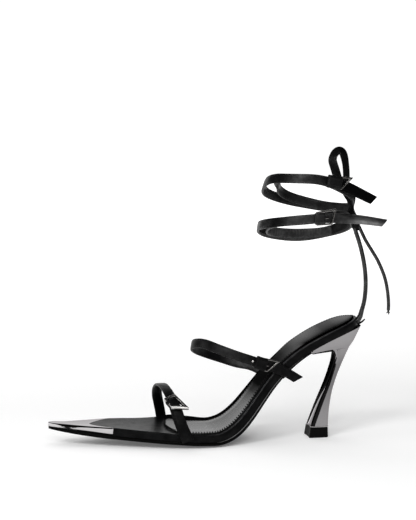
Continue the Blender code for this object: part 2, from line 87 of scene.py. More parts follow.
def crowded(start, end, steps, power):
    # places from start to end that stand closer towards the start
    return [start + (end - start) * (k / steps) ** power for k in range(steps + 1)]


def curveOf(keys, values, blur):
    # smooth curve through a column that never overshoots; the blur lets reflections run on unbroken
    keys, values = np.asarray(keys, float), np.asarray(values, float)
    rise = np.diff(values) / np.diff(keys)
    slope = np.concatenate(([rise[0]], np.zeros(len(keys) - 2), [rise[-1]]))
    same = rise[:-1] * rise[1:] > 0
    slope[1:-1][same] = (2 * rise[:-1] * rise[1:])[same] / (rise[:-1] + rise[1:])[same]
    fine = np.linspace(keys[0], keys[-1], curveSteps)
    at = np.clip(np.searchsorted(keys, fine, "right") - 1, 0, len(keys) - 2)
    span = keys[at + 1] - keys[at]
    part = (fine - keys[at]) / span
    line = (1 + 2 * part) * (1 - part) ** 2 * values[at] + part ** 2 * (3 - 2 * part) * values[at + 1]
    line += part * (1 - part) ** 2 * span * slope[at] + part ** 2 * (part - 1) * span * slope[at + 1]
    step = fine[1] - fine[0]
    reach = int(3 * blur / step)        # a bell curve is all but gone at three times its width
    weight = np.exp(-0.5 * (np.arange(-reach, reach + 1) * step / blur) ** 2)
    before, after = 2 * line[0] - line[reach:0:-1], 2 * line[-1] - line[-2:-reach - 2:-1]
    line = np.convolve(np.concatenate((before, line, after)), weight / weight.sum(), "valid")
    return lambda x: float(np.interp(x, fine, line))


def linesOf(table):
    # a curve for each column over the table's first one, each with its own blur or all with the same
    first, *names = table["columns"].split()
    rows, blur = rowsOf(table), table["blur"]
    blurs = blur if isinstance(blur, dict) else dict.fromkeys(names, blur)
    return {name: curveOf(rows[first], rows[name], blurs[name]) for name in names}


def routeThrough(points, steps):
    # a smooth route, so many steps from each point to the next
    points = [Vector(point) for point in points]
    route = [points[0]]
    for i in range(len(points) - 1):
        start, end = points[i], points[i + 1]
        before, after = points[max(i - 1, 0)], points[min(i + 2, len(points) - 1)]
        leave, arrive = start + (end - before) / 6, end - (after - start) / 6
        route += interpolate_bezier(start, leave, arrive, end, steps + 1)[1:]
    return route


def evened(route, rounds):
    # takes the last small kinks out of a route, its ends stay
    route = list(route)
    for _ in range(rounds):
        middle = [(a + 2 * b + c) / 4 for a, b, c in zip(route, route[1:], route[2:])]
        route = [route[0]] + middle + [route[-1]]
    return route


def lengths(route):
    along = [0.0]
    for a, b in zip(route, route[1:]):
        along.append(along[-1] + (Vector(b) - Vector(a)).length)
    return along


# Meshes and pieces
weld = 0.001        # points closer than this become one


def skinOver(rings, closed=True, ends=True, marks=None, glossAndPaintedLight=None):
    # a grid wrapped over the sections, one row of points for each; marks are (along, across) in mm,
    # the per-point list after them is each point's share of the finish's shine, and on some pieces it also
    # scales the colour as painted light and shade
    shape = bmesh.new()
    uvLayer = shape.loops.layers.uv.new("UVMap")
    glossAndPaintedLightLayer = shape.verts.layers.float.new("glossAndPaintedLight")
    rows, points = len(rings), len(rings[0])
    spans = points if closed else points - 1
    bmesh.ops.create_grid(shape, x_segments=rows - 1, y_segments=spans, size=0.5)
    places = {}
    for vert in shape.verts:
        places[vert] = (round((vert.co.x + 0.5) * (rows - 1)), round((vert.co.y + 0.5) * spans) % points)
    for face in shape.faces:
        for loop in face.loops:
            row, point = places[loop.vert]
            loop[uvLayer].uv = marks[row][point] if marks else (row / rows, point / points)
    for vert, (row, point) in places.items():
        vert.co = Vector(rings[row][point]) * mm
        vert[glossAndPaintedLightLayer] = glossAndPaintedLight[row][point] if glossAndPaintedLight else 1.0
    bmesh.ops.remove_doubles(shape, verts=shape.verts, dist=weld * mm)
    if ends:
        bmesh.ops.holes_fill(shape, edges=[edge for edge in shape.edges if edge.is_boundary])
    bmesh.ops.recalc_face_normals(shape, faces=shape.faces)
    return shape


def joinInto(whole, part):
    mesh = bpy.data.meshes.new("part")
    part.to_mesh(mesh)
    part.free()
    whole.from_mesh(mesh)
    bpy.data.meshes.remove(mesh)


def addPiece(name, shape, material, nodes=(), sharp=40):
    mesh = bpy.data.meshes.new(name)
    shape.to_mesh(mesh)
    shape.free()
    mesh.shade_smooth()
    if sharp:
        mesh.set_sharp_from_angle(angle=math.radians(sharp))
    mesh.materials.append(material)
    piece = bpy.data.objects.new(name, mesh)
    scene.collection.objects.link(piece)
    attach(piece, "root")
    if nodes:
        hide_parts(*nodes)
    print("made", name, len(mesh.polygons), "faces")
    return piece


def softEdges(piece, width, segments, angle=50):
    soft = piece.modifiers.new("edges", "BEVEL")
    soft.width, soft.segments = width * mm, segments
    soft.limit_method, soft.angle_limit = "ANGLE", math.radians(angle)


def tubeRings(route, radius, points=12):
    # round sections square to a route; radius may change along it
    rings, side = [], Vector((0, 1, 0))
    for i, spot in enumerate(route):
        forward = (route[min(i + 1, len(route) - 1)] - route[max(i - 1, 0)]).normalized()
        side = (side - forward * side.dot(forward)).normalized()
        other = forward.cross(side)
        wide = radius(i / (len(route) - 1)) if callable(radius) else radius
        turns = [2 * math.pi * k / points for k in range(points)]
        rings.append([spot + (side * math.cos(t) + other * math.sin(t)) * wide for t in turns])
    return rings


def tubeMarks(route, around, points=12):
    return [[(along, around * k / points) for k in range(points)] for along in lengths(route)]


# Materials
softRelief = 0.4        # strength of the fine relief on every finish but the calfskin


def linear(hexColour):
    parts = [int(hexColour[i:i + 2], 16) / 255 for i in (1, 3, 5)]
    return tuple(p / 12.92 if p <= 0.04045 else ((p + 0.055) / 1.055) ** 2.4 for p in parts) + (1.0,)


def setInputs(tree, node, inputs):
    # a node gives its first output and a socket is linked, anything else is the value itself
    for key, value in inputs.items():
        if isinstance(value, bpy.types.Node):
            value = value.outputs[0]
        if isinstance(value, bpy.types.NodeSocket):
            tree.links.new(value, node.inputs[key])
        else:
            node.inputs[key].default_value = value


def addNode(tree, kind, inputs=None, **settings):
    node = tree.nodes.new("ShaderNode" + kind)
    for key, value in settings.items():
        setattr(node, key, value)
    setInputs(tree, node, inputs or {})
    return node


def perMetre(size):
    return 1 / (size * mm)        # texture scale that gives a pattern of this many millimetres


def newMaterial(name):
    material = bpy.data.materials.new(name)
    material.use_nodes = True
    tree = material.node_tree
    return material, tree, tree.nodes["Principled BSDF"]


def newFinish(name, look):
    # what all finishes share: a slow drift between two tones and a polish that is a little uneven
    material, tree, shader = newMaterial(name)
    where = addNode(tree, "TexCoord")
    spot = where.outputs["Object"]
    drift = addNode(tree, "TexNoise", {"Vector": spot, "Scale": perMetre(look["mottle"]), "Detail": 4.0})
    tone = addNode(tree, "ValToRGB", {"Fac": drift})
    tone.color_ramp.elements[0].color = linear(look["dark"])
    tone.color_ramp.elements[1].color = linear(look["light"])
    fine = addNode(tree, "TexNoise", {"Vector": spot, "Scale": perMetre(look["grain"]),
                                      "Detail": look.get("detail", 4.0)})
    polish = addNode(tree, "MapRange", {"Value": fine, "To Min": look["smooth"], "To Max": look["rough"]})
    setInputs(tree, shader, {"Roughness": polish})
    return material, tree, shader, where, tone, fine


calf = {"dark": "#040404", "light": "#080809", "mottle": 14.0, "pebble": 0.9, "grain": 0.35, "detail": 3.0,
        "smooth": 0.34, "rough": 0.48, "relief": 0.06, "strength": 0.55, "evenLevel": 0.5,
        "worn": 7.0, "wornFrom": (0.35, 0.65), "wornTo": (0.6, 1.4)}
strapStitch = {"in": 2.5, "wide": 0.5, "deep": 6.0, "pitch": 1.2, "dash": (0.2, 0.5)}


def makeCalf(name, shine, stitch=None):
    # calfskin, drum-dyed black and lightly glazed: fine pebbled grain under a soft shine, rubbed in places
    # (the real grain is 0.3 mm; its pebbles are drawn at 0.9 mm so that they show)
    material, tree, shader, where, tone, fine = newFinish(name, calf)
    spot = where.outputs["Object"]
    pebbles = addNode(tree, "TexVoronoi", {"Vector": spot, "Scale": perMetre(calf["pebble"])},
                      feature="DISTANCE_TO_EDGE")
    height = addNode(tree, "Math", {0: pebbles, 1: fine}, operation="ADD")
    if stitch:        # two rows of stitches near the strap's edges, drawn in its own millimetre UV
        mark = addNode(tree, "SeparateXYZ", {"Vector": where.outputs["UV"]})
        side = addNode(tree, "Math", {0: mark.outputs["Y"]}, operation="ABSOLUTE")
        far = addNode(tree, "Math", {0: side, 1: stitch["in"]}, operation="SUBTRACT")
        near = addNode(tree, "Math", {0: far}, operation="ABSOLUTE")
        groove = addNode(tree, "MapRange", {"Value": near, "From Min": 0.0, "From Max": stitch["wide"],
                                            "To Min": -stitch["deep"], "To Max": 0.0},
                         interpolation_type="SMOOTHSTEP")
        beat = addNode(tree, "Math", {0: mark.outputs["X"], 1: stitch["pitch"]}, operation="PINGPONG")
        gap, full = stitch["dash"]
        dash = addNode(tree, "MapRange", {"Value": beat, "From Min": gap, "From Max": full})
        lifted = addNode(tree, "Math", {0: groove, 1: dash}, operation="MULTIPLY")
        height = addNode(tree, "Math", {0: height, 1: lifted}, operation="ADD")
    bump = addNode(tree, "Bump", {"Height": height, "Strength": calf["strength"],
                                  "Distance": calf["relief"] * mm})
    glossAndPaintedLight = addNode(tree, "Attribute", attribute_name="glossAndPaintedLight").outputs["Fac"]
    worn = addNode(tree, "TexNoise", {"Vector": spot, "Scale": perMetre(calf["worn"]), "Detail": 5.0,
                                      "Roughness": 0.65})
    (low, high), (dull, bright) = calf["wornFrom"], calf["wornTo"]
    patchy = addNode(tree, "MapRange", {"Value": worn, "From Min": low, "From Max": high,
                                        "To Min": dull * shine, "To Max": bright * shine})
    level = addNode(tree, "Math", {0: glossAndPaintedLight, 1: patchy}, operation="MULTIPLY")
    # where a point's share of shine passes 1 the colour is lightened too: a painted highlight
    paintedHighlight = addNode(tree, "Math", {0: glossAndPaintedLight, 1: 1.0}, operation="MAXIMUM")
    toned = addNode(tree, "VectorMath", {"Vector": tone, "Scale": paintedHighlight}, operation="SCALE")
    # one even level for the exported model, which leaves out the mapped one
    shader.inputs["Specular IOR Level"].default_value = calf["evenLevel"] * shine
    setInputs(tree, shader, {"Base Color": toned, "Normal": bump, "Specular IOR Level": level})
    return material


kid = {"dark": "#0e0e0e", "light": "#141414", "mottle": 20.0, "grain": 0.8, "smooth": 0.22, "rough": 0.3,
       "relief": 0.04, "evenLevel": 0.08, "length": 130.0, "sheen": [
           (0, 0.15), (12, 0.16), (34, 0.16), (42, 0.13), (47, 0.04), (51, 0.004), (55, 0.0), (70, 0.0),
           (76, 0.002), (82, 0.012), (90, 0.06), (96, 0.08), (102, 0.05), (108, 0.015), (116, 0.018),
           (127, 0.08)]}


def makeKid():
    # kidskin, dyed dark grey: a satin sheen on the forefoot, none under the instep, standing in for the
    # strap's dark reflection, and little at the heel; painted light lightens the seat's far side and painted
    # shade darkens its near side
    material, tree, shader, where, tone, fine = newFinish("greyKidskin", kid)
    along = addNode(tree, "SeparateXYZ", {"Vector": where.outputs["Object"]})
    part = addNode(tree, "MapRange", {"Value": along.outputs["X"], "From Max": kid["length"] * mm})
    sheen = addNode(tree, "ValToRGB", {"Fac": part})
    stops = sheen.color_ramp.elements
    while len(stops) < len(kid["sheen"]):
        stops.new(0.5)
    for stop, (place, level) in zip(stops, kid["sheen"]):
        stop.position, stop.color = place / kid["length"], (level, level, level, 1)
    bump = addNode(tree, "Bump", {"Height": fine, "Strength": softRelief, "Distance": kid["relief"] * mm})
    glossAndPaintedLight = addNode(tree, "Attribute", attribute_name="glossAndPaintedLight").outputs["Fac"]
    # the mesh's layer scales the colour: painted light on the seat's far side, painted shade on its near side
    toned = addNode(tree, "VectorMath", {"Vector": tone, "Scale": glossAndPaintedLight}, operation="SCALE")
    level = addNode(tree, "Math", {0: glossAndPaintedLight, 1: sheen}, operation="MULTIPLY")
    shader.inputs["Specular IOR Level"].default_value = kid["evenLevel"]        # as on the calfskin
    setInputs(tree, shader, {"Base Color": toned, "Normal": bump, "Specular IOR Level": level})
    return material


def makePlain(name, metallic=0.0, relief=0.0, shaded=False, extra=None, **look):
    # one even finish with, where asked, a fine relief or painted light and shade that scale its tone over the
    # piece
    material, tree, shader, _, tone, fine = newFinish(name, look)
    wanted = {"Base Color": tone, "Metallic": metallic}
    if shaded:        # from the mesh's gloss layer
        # the mesh's per-point layer scales the colour: painted light and shade
        glossAndPaintedLight = addNode(tree, "Attribute", attribute_name="glossAndPaintedLight").outputs["Fac"]
        toned = addNode(tree, "VectorMath", {"Vector": tone, "Scale": glossAndPaintedLight}, operation="SCALE")
        wanted["Base Color"] = toned
    if relief:
        wanted["Normal"] = addNode(tree, "Bump", {"Height": fine, "Strength": softRelief,
                                                  "Distance": relief * mm})
    setInputs(tree, shader, wanted)
    setInputs(tree, shader, extra or {})
    return material


greyKid = makeKid()
blackCalf = makeCalf("blackCalfskin", shine=0.1)
strapCalf = makeCalf("blackStrapCalfskin", shine=0.75, stitch=strapStitch)
# moulded resin, sanded and inked: a flat near-black edge that hardly shines
blackSole = makePlain("blackSoleResin", dark="#060606", light="#0a0a0a", mottle=25.0, smooth=0.2, rough=0.3,
                      relief=0.02, grain=0.8, extra={"Specular IOR Level": 0.02})
# dark chrome plated on a moulded heel: a smoky mirror, its colour scaled by height, painted shade at its
# waist and painted light at the top
heelChrome = makePlain("darkChromePlate", dark="#8a8889", light="#929091", mottle=40.0, smooth=0.06,
                       rough=0.1, metallic=1.0, grain=3.0, shaded=True,
                       extra={"Specular Tint": linear("#d8d6d7")})
# the heel's dark chrome on pressed sheet, set brighter here as painted light: a clear mirror with one dark
# line where the edge rolls over, deepened by painted shade
capChromeLitCopy = makePlain("litCopyChromePlate", dark="#aaa8a9", light="#b2b0b1", mottle=40.0, smooth=0.06,
                      rough=0.1, metallic=1.0, grain=3.0, shaded=True,
                      extra={"Specular Tint": linear("#e0dedf")})
# cast and tumbled buckle steel: small bright glints
buckleSteel = makePlain("polishedBuckleSteel", dark="#c6c4c2", light="#d2d0ce", mottle=6.0, smooth=0.1,
                        rough=0.18, metallic=1.0, grain=0.8)
# the same steel set darker as painted shade, for buckles that show dark with only a few glints: a dull grey
# outline against the straps
shadedSteelCopy = makePlain("paintedShadeBuckleSteel", dark="#706e6c", light="#7c7a78", mottle=6.0, smooth=0.12,
                        rough=0.2, metallic=1.0, grain=0.8)
# a grey bead colour, a painted highlight for the outsole's edge catching the light: a thin grey line
seamHighlightGrey = makePlain("seamPaintedHighlight", dark="#505050", light="#5c5c5c", mottle=6.0, smooth=0.3, rough=0.45,
                    grain=1.0)
# moulded rubber: deep matt black with a slight grit
topLiftRubber = makePlain("blackTopLiftRubber", dark="#040404", light="#080808", mottle=8.0, smooth=0.45,
                          rough=0.65, relief=0.08, grain=0.6, extra={"Specular IOR Level": 0.06})
# twisted thread drawn through wax: black with a faint lustre
blackThread = makePlain("waxedBlackThread", dark="#080808", light="#101010", mottle=3.0, smooth=0.4,
                        rough=0.6, relief=0.05, grain=0.3, extra={"Specular IOR Level": 0.1})
print("materials made")


# The loose end of the back tie, a free leather cord
tieEnd = {"diameter": 2.8, "steps": 3, "around": 7.5, "rows": [
    (137.4, 165.8), (140.0, 160.4), (143.4, 153.8), (148.2, 146.2), (152.4, 139.4), (155.9, 132.2),
    (158.7, 125.0), (160.5, 117.8), (161.6, 110.6), (162.1, 104.2), (162.0, 98.6)]}
fray = {"leans": [(-1.5, 0.4, -2.4), (0.3, -0.5, -3.4), (1.2, 0.2, -2.2)], "at": (-0.1, 0.4, 0.7, 1.0),
        "steps": 3, "radius": 0.8, "taper": 0.5, "points": 6}


def makeFray(end):
    # loose fibres at the cut end
    strands = bmesh.new()
    for x, y, z in fray["leans"]:
        tip = routeThrough([end + Vector((x * t * t, y * t, z * t)) for t in fray["at"]], fray["steps"])
        rings = tubeRings(tip, lambda t: fray["radius"] - fray["taper"] * t, fray["points"])
        joinInto(strands, skinOver(rings))
    return addPiece("tieFray", strands, strapCalf, sharp=60)


def makeTieEnd():
    route = routeThrough([(x, 0, z) for x, z in tieEnd["rows"]], tieEnd["steps"])
    shape = skinOver(tubeRings(route, tieEnd["diameter"] / 2), marks=tubeMarks(route, tieEnd["around"]))
    piece = addPiece("tieEnd", shape, strapCalf, ["tie_end"], sharp=60)
    strands = makeFray(route[-1])


makeTieEnd()


# The last: lines that footbed, sock, toe cap, outsole and heel seat share
last = {"columns": "along rim lateral medial wall sole crown", "rows": [
    (-108, 18.0, 0.3, 0.9, 3.0, 1.5, 0.2), (-106.6, 17.9, 2.4, 3.0, 3.2, 1.6, 0.2),
    (-104, 17.7, 4.2, 5.0, 3.4, 1.7, 0.3), (-98, 17.3, 6.5, 7.6, 4.0, 1.9, 0.5),
    (-80, 16.3, 13.4, 14.2, 5.3, 2.2, 1.2), (-60, 15.6, 21.2, 21.0, 6.4, 2.3, 2.0),
    (-35, 13.7, 29.6, 28.6, 6.3, 2.3, 2.6), (-12, 11.9, 35.4, 34.4, 6.1, 2.3, 2.9),
    (6, 10.5, 36.8, 35.6, 5.9, 2.3, 2.9), (18, 10.4, 35.0, 33.6, 6.3, 2.4, 2.7),
    (25, 12.2, 32.6, 30.8, 7.0, 2.4, 2.4), (32, 16.2, 30.0, 27.8, 7.3, 2.3, 2.0),
    (40, 23.6, 27.4, 24.8, 7.2, 2.0, 1.6), (50, 36.0, 24.8, 21.8, 7.0, 1.6, 1.2),
    (60, 48.8, 22.8, 19.6, 6.9, 1.4, 0.9), (72, 61.4, 21.7, 18.8, 6.9, 1.2, 0.6),
    (86, 72.6, 22.2, 20.0, 6.9, 1.0, 0.3), (104, 82.8, 22.9, 22.0, 6.9, 0.9, 0.2),
    (118, 88.9, 21.4, 21.2, 6.9, 0.9, 0.2), (128, 92.6, 15.8, 15.8, 6.9, 0.9, 0.2),
    (133, 94.3, 8.6, 8.6, 6.9, 0.9, 0.1), (135, 94.9, 2.2, 2.2, 6.9, 0.9, 0.1)],
    "blur": {"rim": 2.0, "lateral": 0.6, "medial": 0.6, "wall": 3.0, "sole": 3.0, "crown": 3.0},
    "slopeRun": 0.5, "rimSteps": 1200, "ease": 0.45, "dish": 1.2, "dishWidth": 60.0,
    "rollWidth": 0.3, "rollBlur": 2.0, "roll": [
        (-108, 0), (-40, 0), (-28, 0.3), (-18, 1.0), (-10, 2.9), (-6, 3.1), (0, 2.8), (8, 2.1), (16, 1.2),
        (23, 0.5), (32, 0), (135, 0)]}
toeEnd, heelEnd = last["rows"][0][0], last["rows"][-1][0]
lastLine = linesOf(last)
lastRoll = curveOf(*zip(*last["roll"]), last["rollBlur"])


def bedPoint(x, y, depth):
    # depth is square to the rim line, so the bed keeps its thickness up the arch
    low, high = max(x - last["slopeRun"], toeEnd), min(x + last["slopeRun"], heelEnd)
    slope = (lastLine["rim"](high) - lastLine["rim"](low)) / (high - low)
    size = math.hypot(1, slope)
    return Vector((x + slope * depth / size, y, lastLine["rim"](x) - depth / size))


def bedWidth(x):
    # the middle of the bed and half its width
    lateral, medial = lastLine["lateral"](x), lastLine["medial"](x)
    return (medial - lateral) / 2, (medial + lateral) / 2


def bedDish(x):
    return last["dish"] * min(1, 2 * bedWidth(x)[1] / last["dishWidth"])


def bedHang(x, y):
    # how far the dished top lies below the rim line; beside the ball the inner rim rolls up
    centre, half = bedWidth(x)
    part = (y - centre) / half
    up = held((part - 1) / last["rollWidth"] + 1)
    return bedDish(x) * (1 - min(1, abs(part)) ** 2) - lastRoll(x) * up * up * (3 - 2 * up)


def stations(start, end, count, ease=last["ease"]):
    # places along the bed, even along the rim line and closer at both ends
    fine = np.linspace(start, end, last["rimSteps"])
    rim = np.array([lastLine["rim"](x) for x in fine])
    run = np.concatenate(([0], np.cumsum(np.hypot(np.diff(fine), np.diff(rim)))))
    part = np.linspace(0, 1, count)
    part = (1 - ease) * part + ease / 2 * (1 - np.cos(np.pi * part))
    return [float(x) for x in np.interp(part * run[-1], run, fine)]


def arc(radius, steps):
    # quarter round from level to upright: (outwards, down) for each step
    turns = [math.pi / 2 * k / steps for k in range(1, steps + 1)]
    return [(radius * math.sin(t), radius * (1 - math.cos(t))) for t in turns]


# Footbed: board wrapped in black calf, with the leather point that runs over the toe cap
wrap = {"capEnd": -60.0, "pointTip": -75.8, "pointHalf": 19.4, "pointPower": 0.72, "pointSteps": 24,
        "pointEase": 1.6, "pointLeast": 0.15, "stations": 150, "topPoints": 21, "underPoints": 15,
        "round": 0.9, "roundSteps": 4, "tuck": 1.0, "most": 0.4, "bulge": 0.3, "sideSteps": 6, "edge": 0.5,
        "edgeCut": 0.15, "seam": 0.2, "rimHighlightFrom": 8.0, "rimHighlightRun": 14.0, "rimShineAndHighlight": 5.0, "sideShine": 0.7,
        "dullFrom": -14.0, "dullPoints": 12, "dullOnTop": 7}


def pointHalf(x, tip, half):
    part = (x - tip) / (wrap["capEnd"] - tip)
    return half * max(part, 0) ** wrap["pointPower"]


def atMost(size, half):
    # roundings grow smaller where the toe is narrow
    return min(size, wrap["most"] * half)


def bedRing(x, half):
    centre, full = bedWidth(x)
    radius, tuck = atMost(wrap["round"], half), atMost(wrap["tuck"], half)
    wall, crown = lastLine["wall"](x), lastLine["crown"](x)
    top = []
    for part in np.linspace(-1, 1, wrap["topPoints"]):
        y = centre + (half - radius) * part
        top.append((y - centre, bedHang(x, y)))
    sides = []
    for sign in (1, -1):
        rim = bedHang(x, centre + sign * (half - radius))
        side = [(half - radius + out, rim + down) for out, down in arc(radius, wrap["roundSteps"])]
        first, final = rim + radius, wall - wrap["edge"]
        for k in range(1, wrap["sideSteps"] + 1):
            t = k / wrap["sideSteps"]
            out = half - tuck * t + wrap["bulge"] * math.sin(math.pi * t)
            side.append((out, first + (final - first) * t))
        cut = wrap["edgeCut"] * wrap["edge"]
        side.append((half - tuck - cut, wall - cut))
        sides.append([(sign * y, depth) for y, depth in side])
    low = half - tuck - wrap["edge"]
    under = [low * part for part in np.linspace(1, -1, wrap["underPoints"])]
    under = [(y, wall + crown * (1 - (y / full) ** 2)) for y in under]
    ring = top + sides[0] + under + sides[1][::-1]
    return [bedPoint(x, centre + y, depth) for y, depth in ring]


def bedShineAndHighlight(ring):
    # the wrap shines more along its near rim, up the arch and round the seat, where its colour is also
    # lightened as a painted highlight, and is dull at the far rim
    place = ring[0].x
    shine = wrap["rimShineAndHighlight"] * held((place - wrap["rimHighlightFrom"]) / wrap["rimHighlightRun"])
    top = [1 + shine] + [1.0] * (wrap["topPoints"] - wrap["dullOnTop"] - 1)
    far = [0.0 if place > wrap["dullFrom"] else 1.0] * wrap["dullPoints"]
    near = [1 + shine / 2, 1 + shine, 1 + shine]
    below = [wrap["sideShine"]] * (len(ring) - len(top + far + near))
    return top + far + below + near


def makeFootbed():
    tip, end = wrap["pointTip"], wrap["capEnd"]
    rings = []
    for x in crowded(tip, end, wrap["pointSteps"], wrap["pointEase"]):
        rings.append(bedRing(x, max(pointHalf(x, tip, wrap["pointHalf"]), wrap["pointLeast"])))
    rings += [bedRing(x, bedWidth(x)[1]) for x in stations(end + wrap["seam"], heelEnd, wrap["stations"])]
    shape = skinOver(rings, glossAndPaintedLight=[bedShineAndHighlight(ring) for ring in rings])
    addPiece("footbed", shape, blackCalf, ["footbed"])


makeFootbed()


# Toe cap: thin polished shell, open below and notched on top for the leather point
cap = {"start": -107.6, "end": -60.0, "steps": 40, "ease": 1.25, "notchTip": -76.0, "notchHalf": 19.6,
       "notchSteps": (0.0, 0.15, 0.5, 1.2), "wall": 0.7, "bevel": 0.22, "sidePoints": 6, "roundSteps": 8,
       "topPoints": 10,
       "raised": [(-108, 0.2), (-102, 0.6), (-94, 0.9), (-86, 1.4), (-80, 1.7), (-72, 1.7), (-60, 1.5)],
       "round": [(-108, 0.5), (-103, 0.7), (-98, 1.8), (-94, 2.6), (-90, 2.2), (-84, 1.5), (-76, 1.2),
                 (-60, 1.0)], "roundBlur": 1.0,
       # the cap's tone round each section: lighter on the side as painted light, darker on the rounded edge
       # as painted shade
       "tone": [1.45] * 6 + [0.8, 0.25, 0.15, 0.15, 0.15, 0.25, 0.7] + [1.0] * 10}        # side, round, top
capRound = curveOf(*zip(*cap["round"]), cap["roundBlur"])


def capRaise(x):
    # the side wall grows narrower away from the tip, the sole's edge takes up the rest
    return between(x, cap["raised"])


def capHalf(x, side):
    centre, half = bedWidth(x)
    radius, tuck = atMost(capRound(x), half), atMost(wrap["tuck"], half)
    wall = lastLine["wall"](x) - capRaise(x)
    flat = half - radius
    rim = bedHang(x, centre + side * flat)
    outline = []
    for t in np.linspace(0, 1, cap["sidePoints"]):
        outline.append((half - tuck + tuck * t, wall + (rim + radius - wall) * t))
    outline += [(flat + out, rim + down) for out, down in reversed(arc(radius, cap["roundSteps"])[:-1])]
    points = [bedPoint(x, centre + side * y, depth) for y, depth in outline]
    inner = side * pointHalf(x, cap["notchTip"], cap["notchHalf"])
    for part in np.linspace(0, 1, cap["topPoints"]):
        y = centre + side * flat
        y += (inner - y) * part
        points.append(bedPoint(x, y, bedHang(x, y)))
    return points


def makeToeCap():
    places = crowded(cap["start"], cap["end"], cap["steps"], cap["ease"])
    places = sorted(places + [cap["notchTip"] + step for step in cap["notchSteps"]])
    whole = bmesh.new()
    for side in (-1, 1):
        rings = [capHalf(x, side) for x in places]
        middle = bedWidth(cap["start"])[0]
        rings.insert(0, [Vector((spot.x, middle, spot.z)) for spot in rings[0]])
        joinInto(whole, skinOver(rings, closed=False, ends=False, glossAndPaintedLight=[cap["tone"]] * len(rings)))
    bmesh.ops.remove_doubles(whole, verts=whole.verts, dist=2 * weld * mm)
    bmesh.ops.recalc_face_normals(whole, faces=whole.faces)
    if sum(face.normal.z * face.calc_area() for face in whole.faces) < 0:
        bmesh.ops.reverse_faces(whole, faces=whole.faces)
    piece = addPiece("toeCap", whole, capChromeLitCopy, ["toe_cap"], sharp=35)
    thick = piece.modifiers.new("wall", "SOLIDIFY")
    thick.thickness, thick.offset, thick.thickness_clamp = cap["wall"] * mm, -1, 1.0
    softEdges(piece, cap["bevel"], segments=2)


makeToeCap()


# Outsole: thin black sole, skived towards the heel
sole = {"start": -107.2, "end": 91.3, "inset": 0.75, "least": 0.4, "gap": 0.25, "lift": 0.95, "liftRun": 3.0,
        "stations": 120, "edge": 0.55, "most": 0.3, "chamfer": 0.3, "points": 17}


def soleRing(x):
    centre, half = bedWidth(x)
    half = max(half - sole["inset"], sole["least"])
    crown, top = lastLine["crown"](x), lastLine["wall"](x) + sole["gap"]
    bottom = top + lastLine["sole"](x)
    top -= sole["lift"] * capRaise(x) * held((cap["end"] + sole["liftRun"] / 2 - x) / sole["liftRun"])
    edge = min(sole["edge"], sole["most"] * half)
    cut = sole["chamfer"] * edge
    over = [(half - edge) * part for part in np.linspace(-1, 1, sole["points"])]
    side = [(half - cut, top + cut), (half, top + edge), (half, bottom - edge), (half - cut, bottom - cut)]
    ring = [(y, top + crown * (1 - (y / half) ** 2)) for y in over] + side
    ring += [(y, bottom + crown * (1 - (y / half) ** 2)) for y in reversed(over)]
    ring += [(-y, depth) for y, depth in reversed(side)]
    spots = [bedPoint(x, centre + y, depth) for y, depth in ring]
    for spot in spots:        # the ball stands flat on the floor
        spot.z = max(spot.z, 0.0)
    return spots


def makeOutsole():
    rings = [soleRing(x) for x in stations(sole["start"], sole["end"], sole["stations"])]
    addPiece("outsole", skinOver(rings), blackSole, ["outsole"])


makeOutsole()


# Seam between wrap and outsole, a thin grey bead up the arch; its grey is a painted highlight for the
# outsole's edge catching the light
seam = {"start": 18.0, "end": 86.0, "radius": 0.34, "out": 0.1, "stations": 90, "points": 8,
        "tip": 0.1, "swell": 8.0, "thin": 1.6}


def seamRadius(part):
    # swells quickly at its lower end and thins out slowly towards the heel
    grown, left = seam["swell"] * part + seam["tip"], seam["thin"] * (1 - part) + seam["tip"]
    return seam["radius"] * min(1, grown, left)


def makeSeam():
    for side, name in ((-1, "seamOuter"), (1, "seamInner")):
        route = []
        for x in stations(seam["start"], seam["end"], seam["stations"], 0):
            centre, half = bedWidth(x)
            y = centre + side * (half - wrap["tuck"] + seam["out"])
            route.append(bedPoint(x, y, lastLine["wall"](x)))
        rings = tubeRings(route, seamRadius, seam["points"])
        addPiece(name, skinOver(rings), seamHighlightGrey, sharp=0)


makeSeam()


# Sock: grey insole cover with a curved front edge and a row of stitches
sock = {"front": -16.5, "frontArc": 8.0, "back": 133.4, "backArc": 9.0, "arcSteps": 14, "arcTip": 0.003,
        "thick": 1.2, "gap": 0.25, "inset": [(-17, 2.8), (90, 2.8), (115, 1.9), (134, 1.7)], "least": 0.05,
        "stations": 110, "points": 21, "underPoints": 9, "underShare": 0.9, "edge": 0.55, "roundSteps": 4,
        "roundDrop": 0.9, "inner": [(-17, 2.0), (-6, 5.5), (4, 6.5), (45, 6.5), (85, 0.0), (133, 0.0)],
        "innerMost": 6.5, "skive": 9.0, "thin": 0.2, "tone": (2.2, 0.0), "fall": 2.5, "seat": (76.0, 90.0)}
stitches = {"pitch": 2.2, "half": 0.6, "inset": 1.1, "wide": 0.55, "tall": 1.2, "low": 0.35, "tallTo": 80.0}


def sockSpan(x):
    # middle and half width; up to the arch the wrapped rim shows wider on the inner side of the foot
    front = held((sock["front"] + sock["frontArc"] - x) / sock["frontArc"])
    back = held((x - sock["back"] + sock["backArc"]) / sock["backArc"])
    share = math.sqrt(1 - front ** 2) * math.sqrt(1 - back ** 2)
    centre, half = bedWidth(x)
    less = between(x, sock["inner"]) * share / 2
    return centre - less, max((half - between(x, sock["inset"])) * share - less, sock["least"])


def sockThick(x, inside):
    # inside is the distance from the inner edge, where the cover is skived
    wide = between(x, sock["inner"]) / sock["innerMost"]
    return sock["thick"] * (1 - (1 - sock["thin"]) * wide * max(1 - inside / sock["skive"], 0))


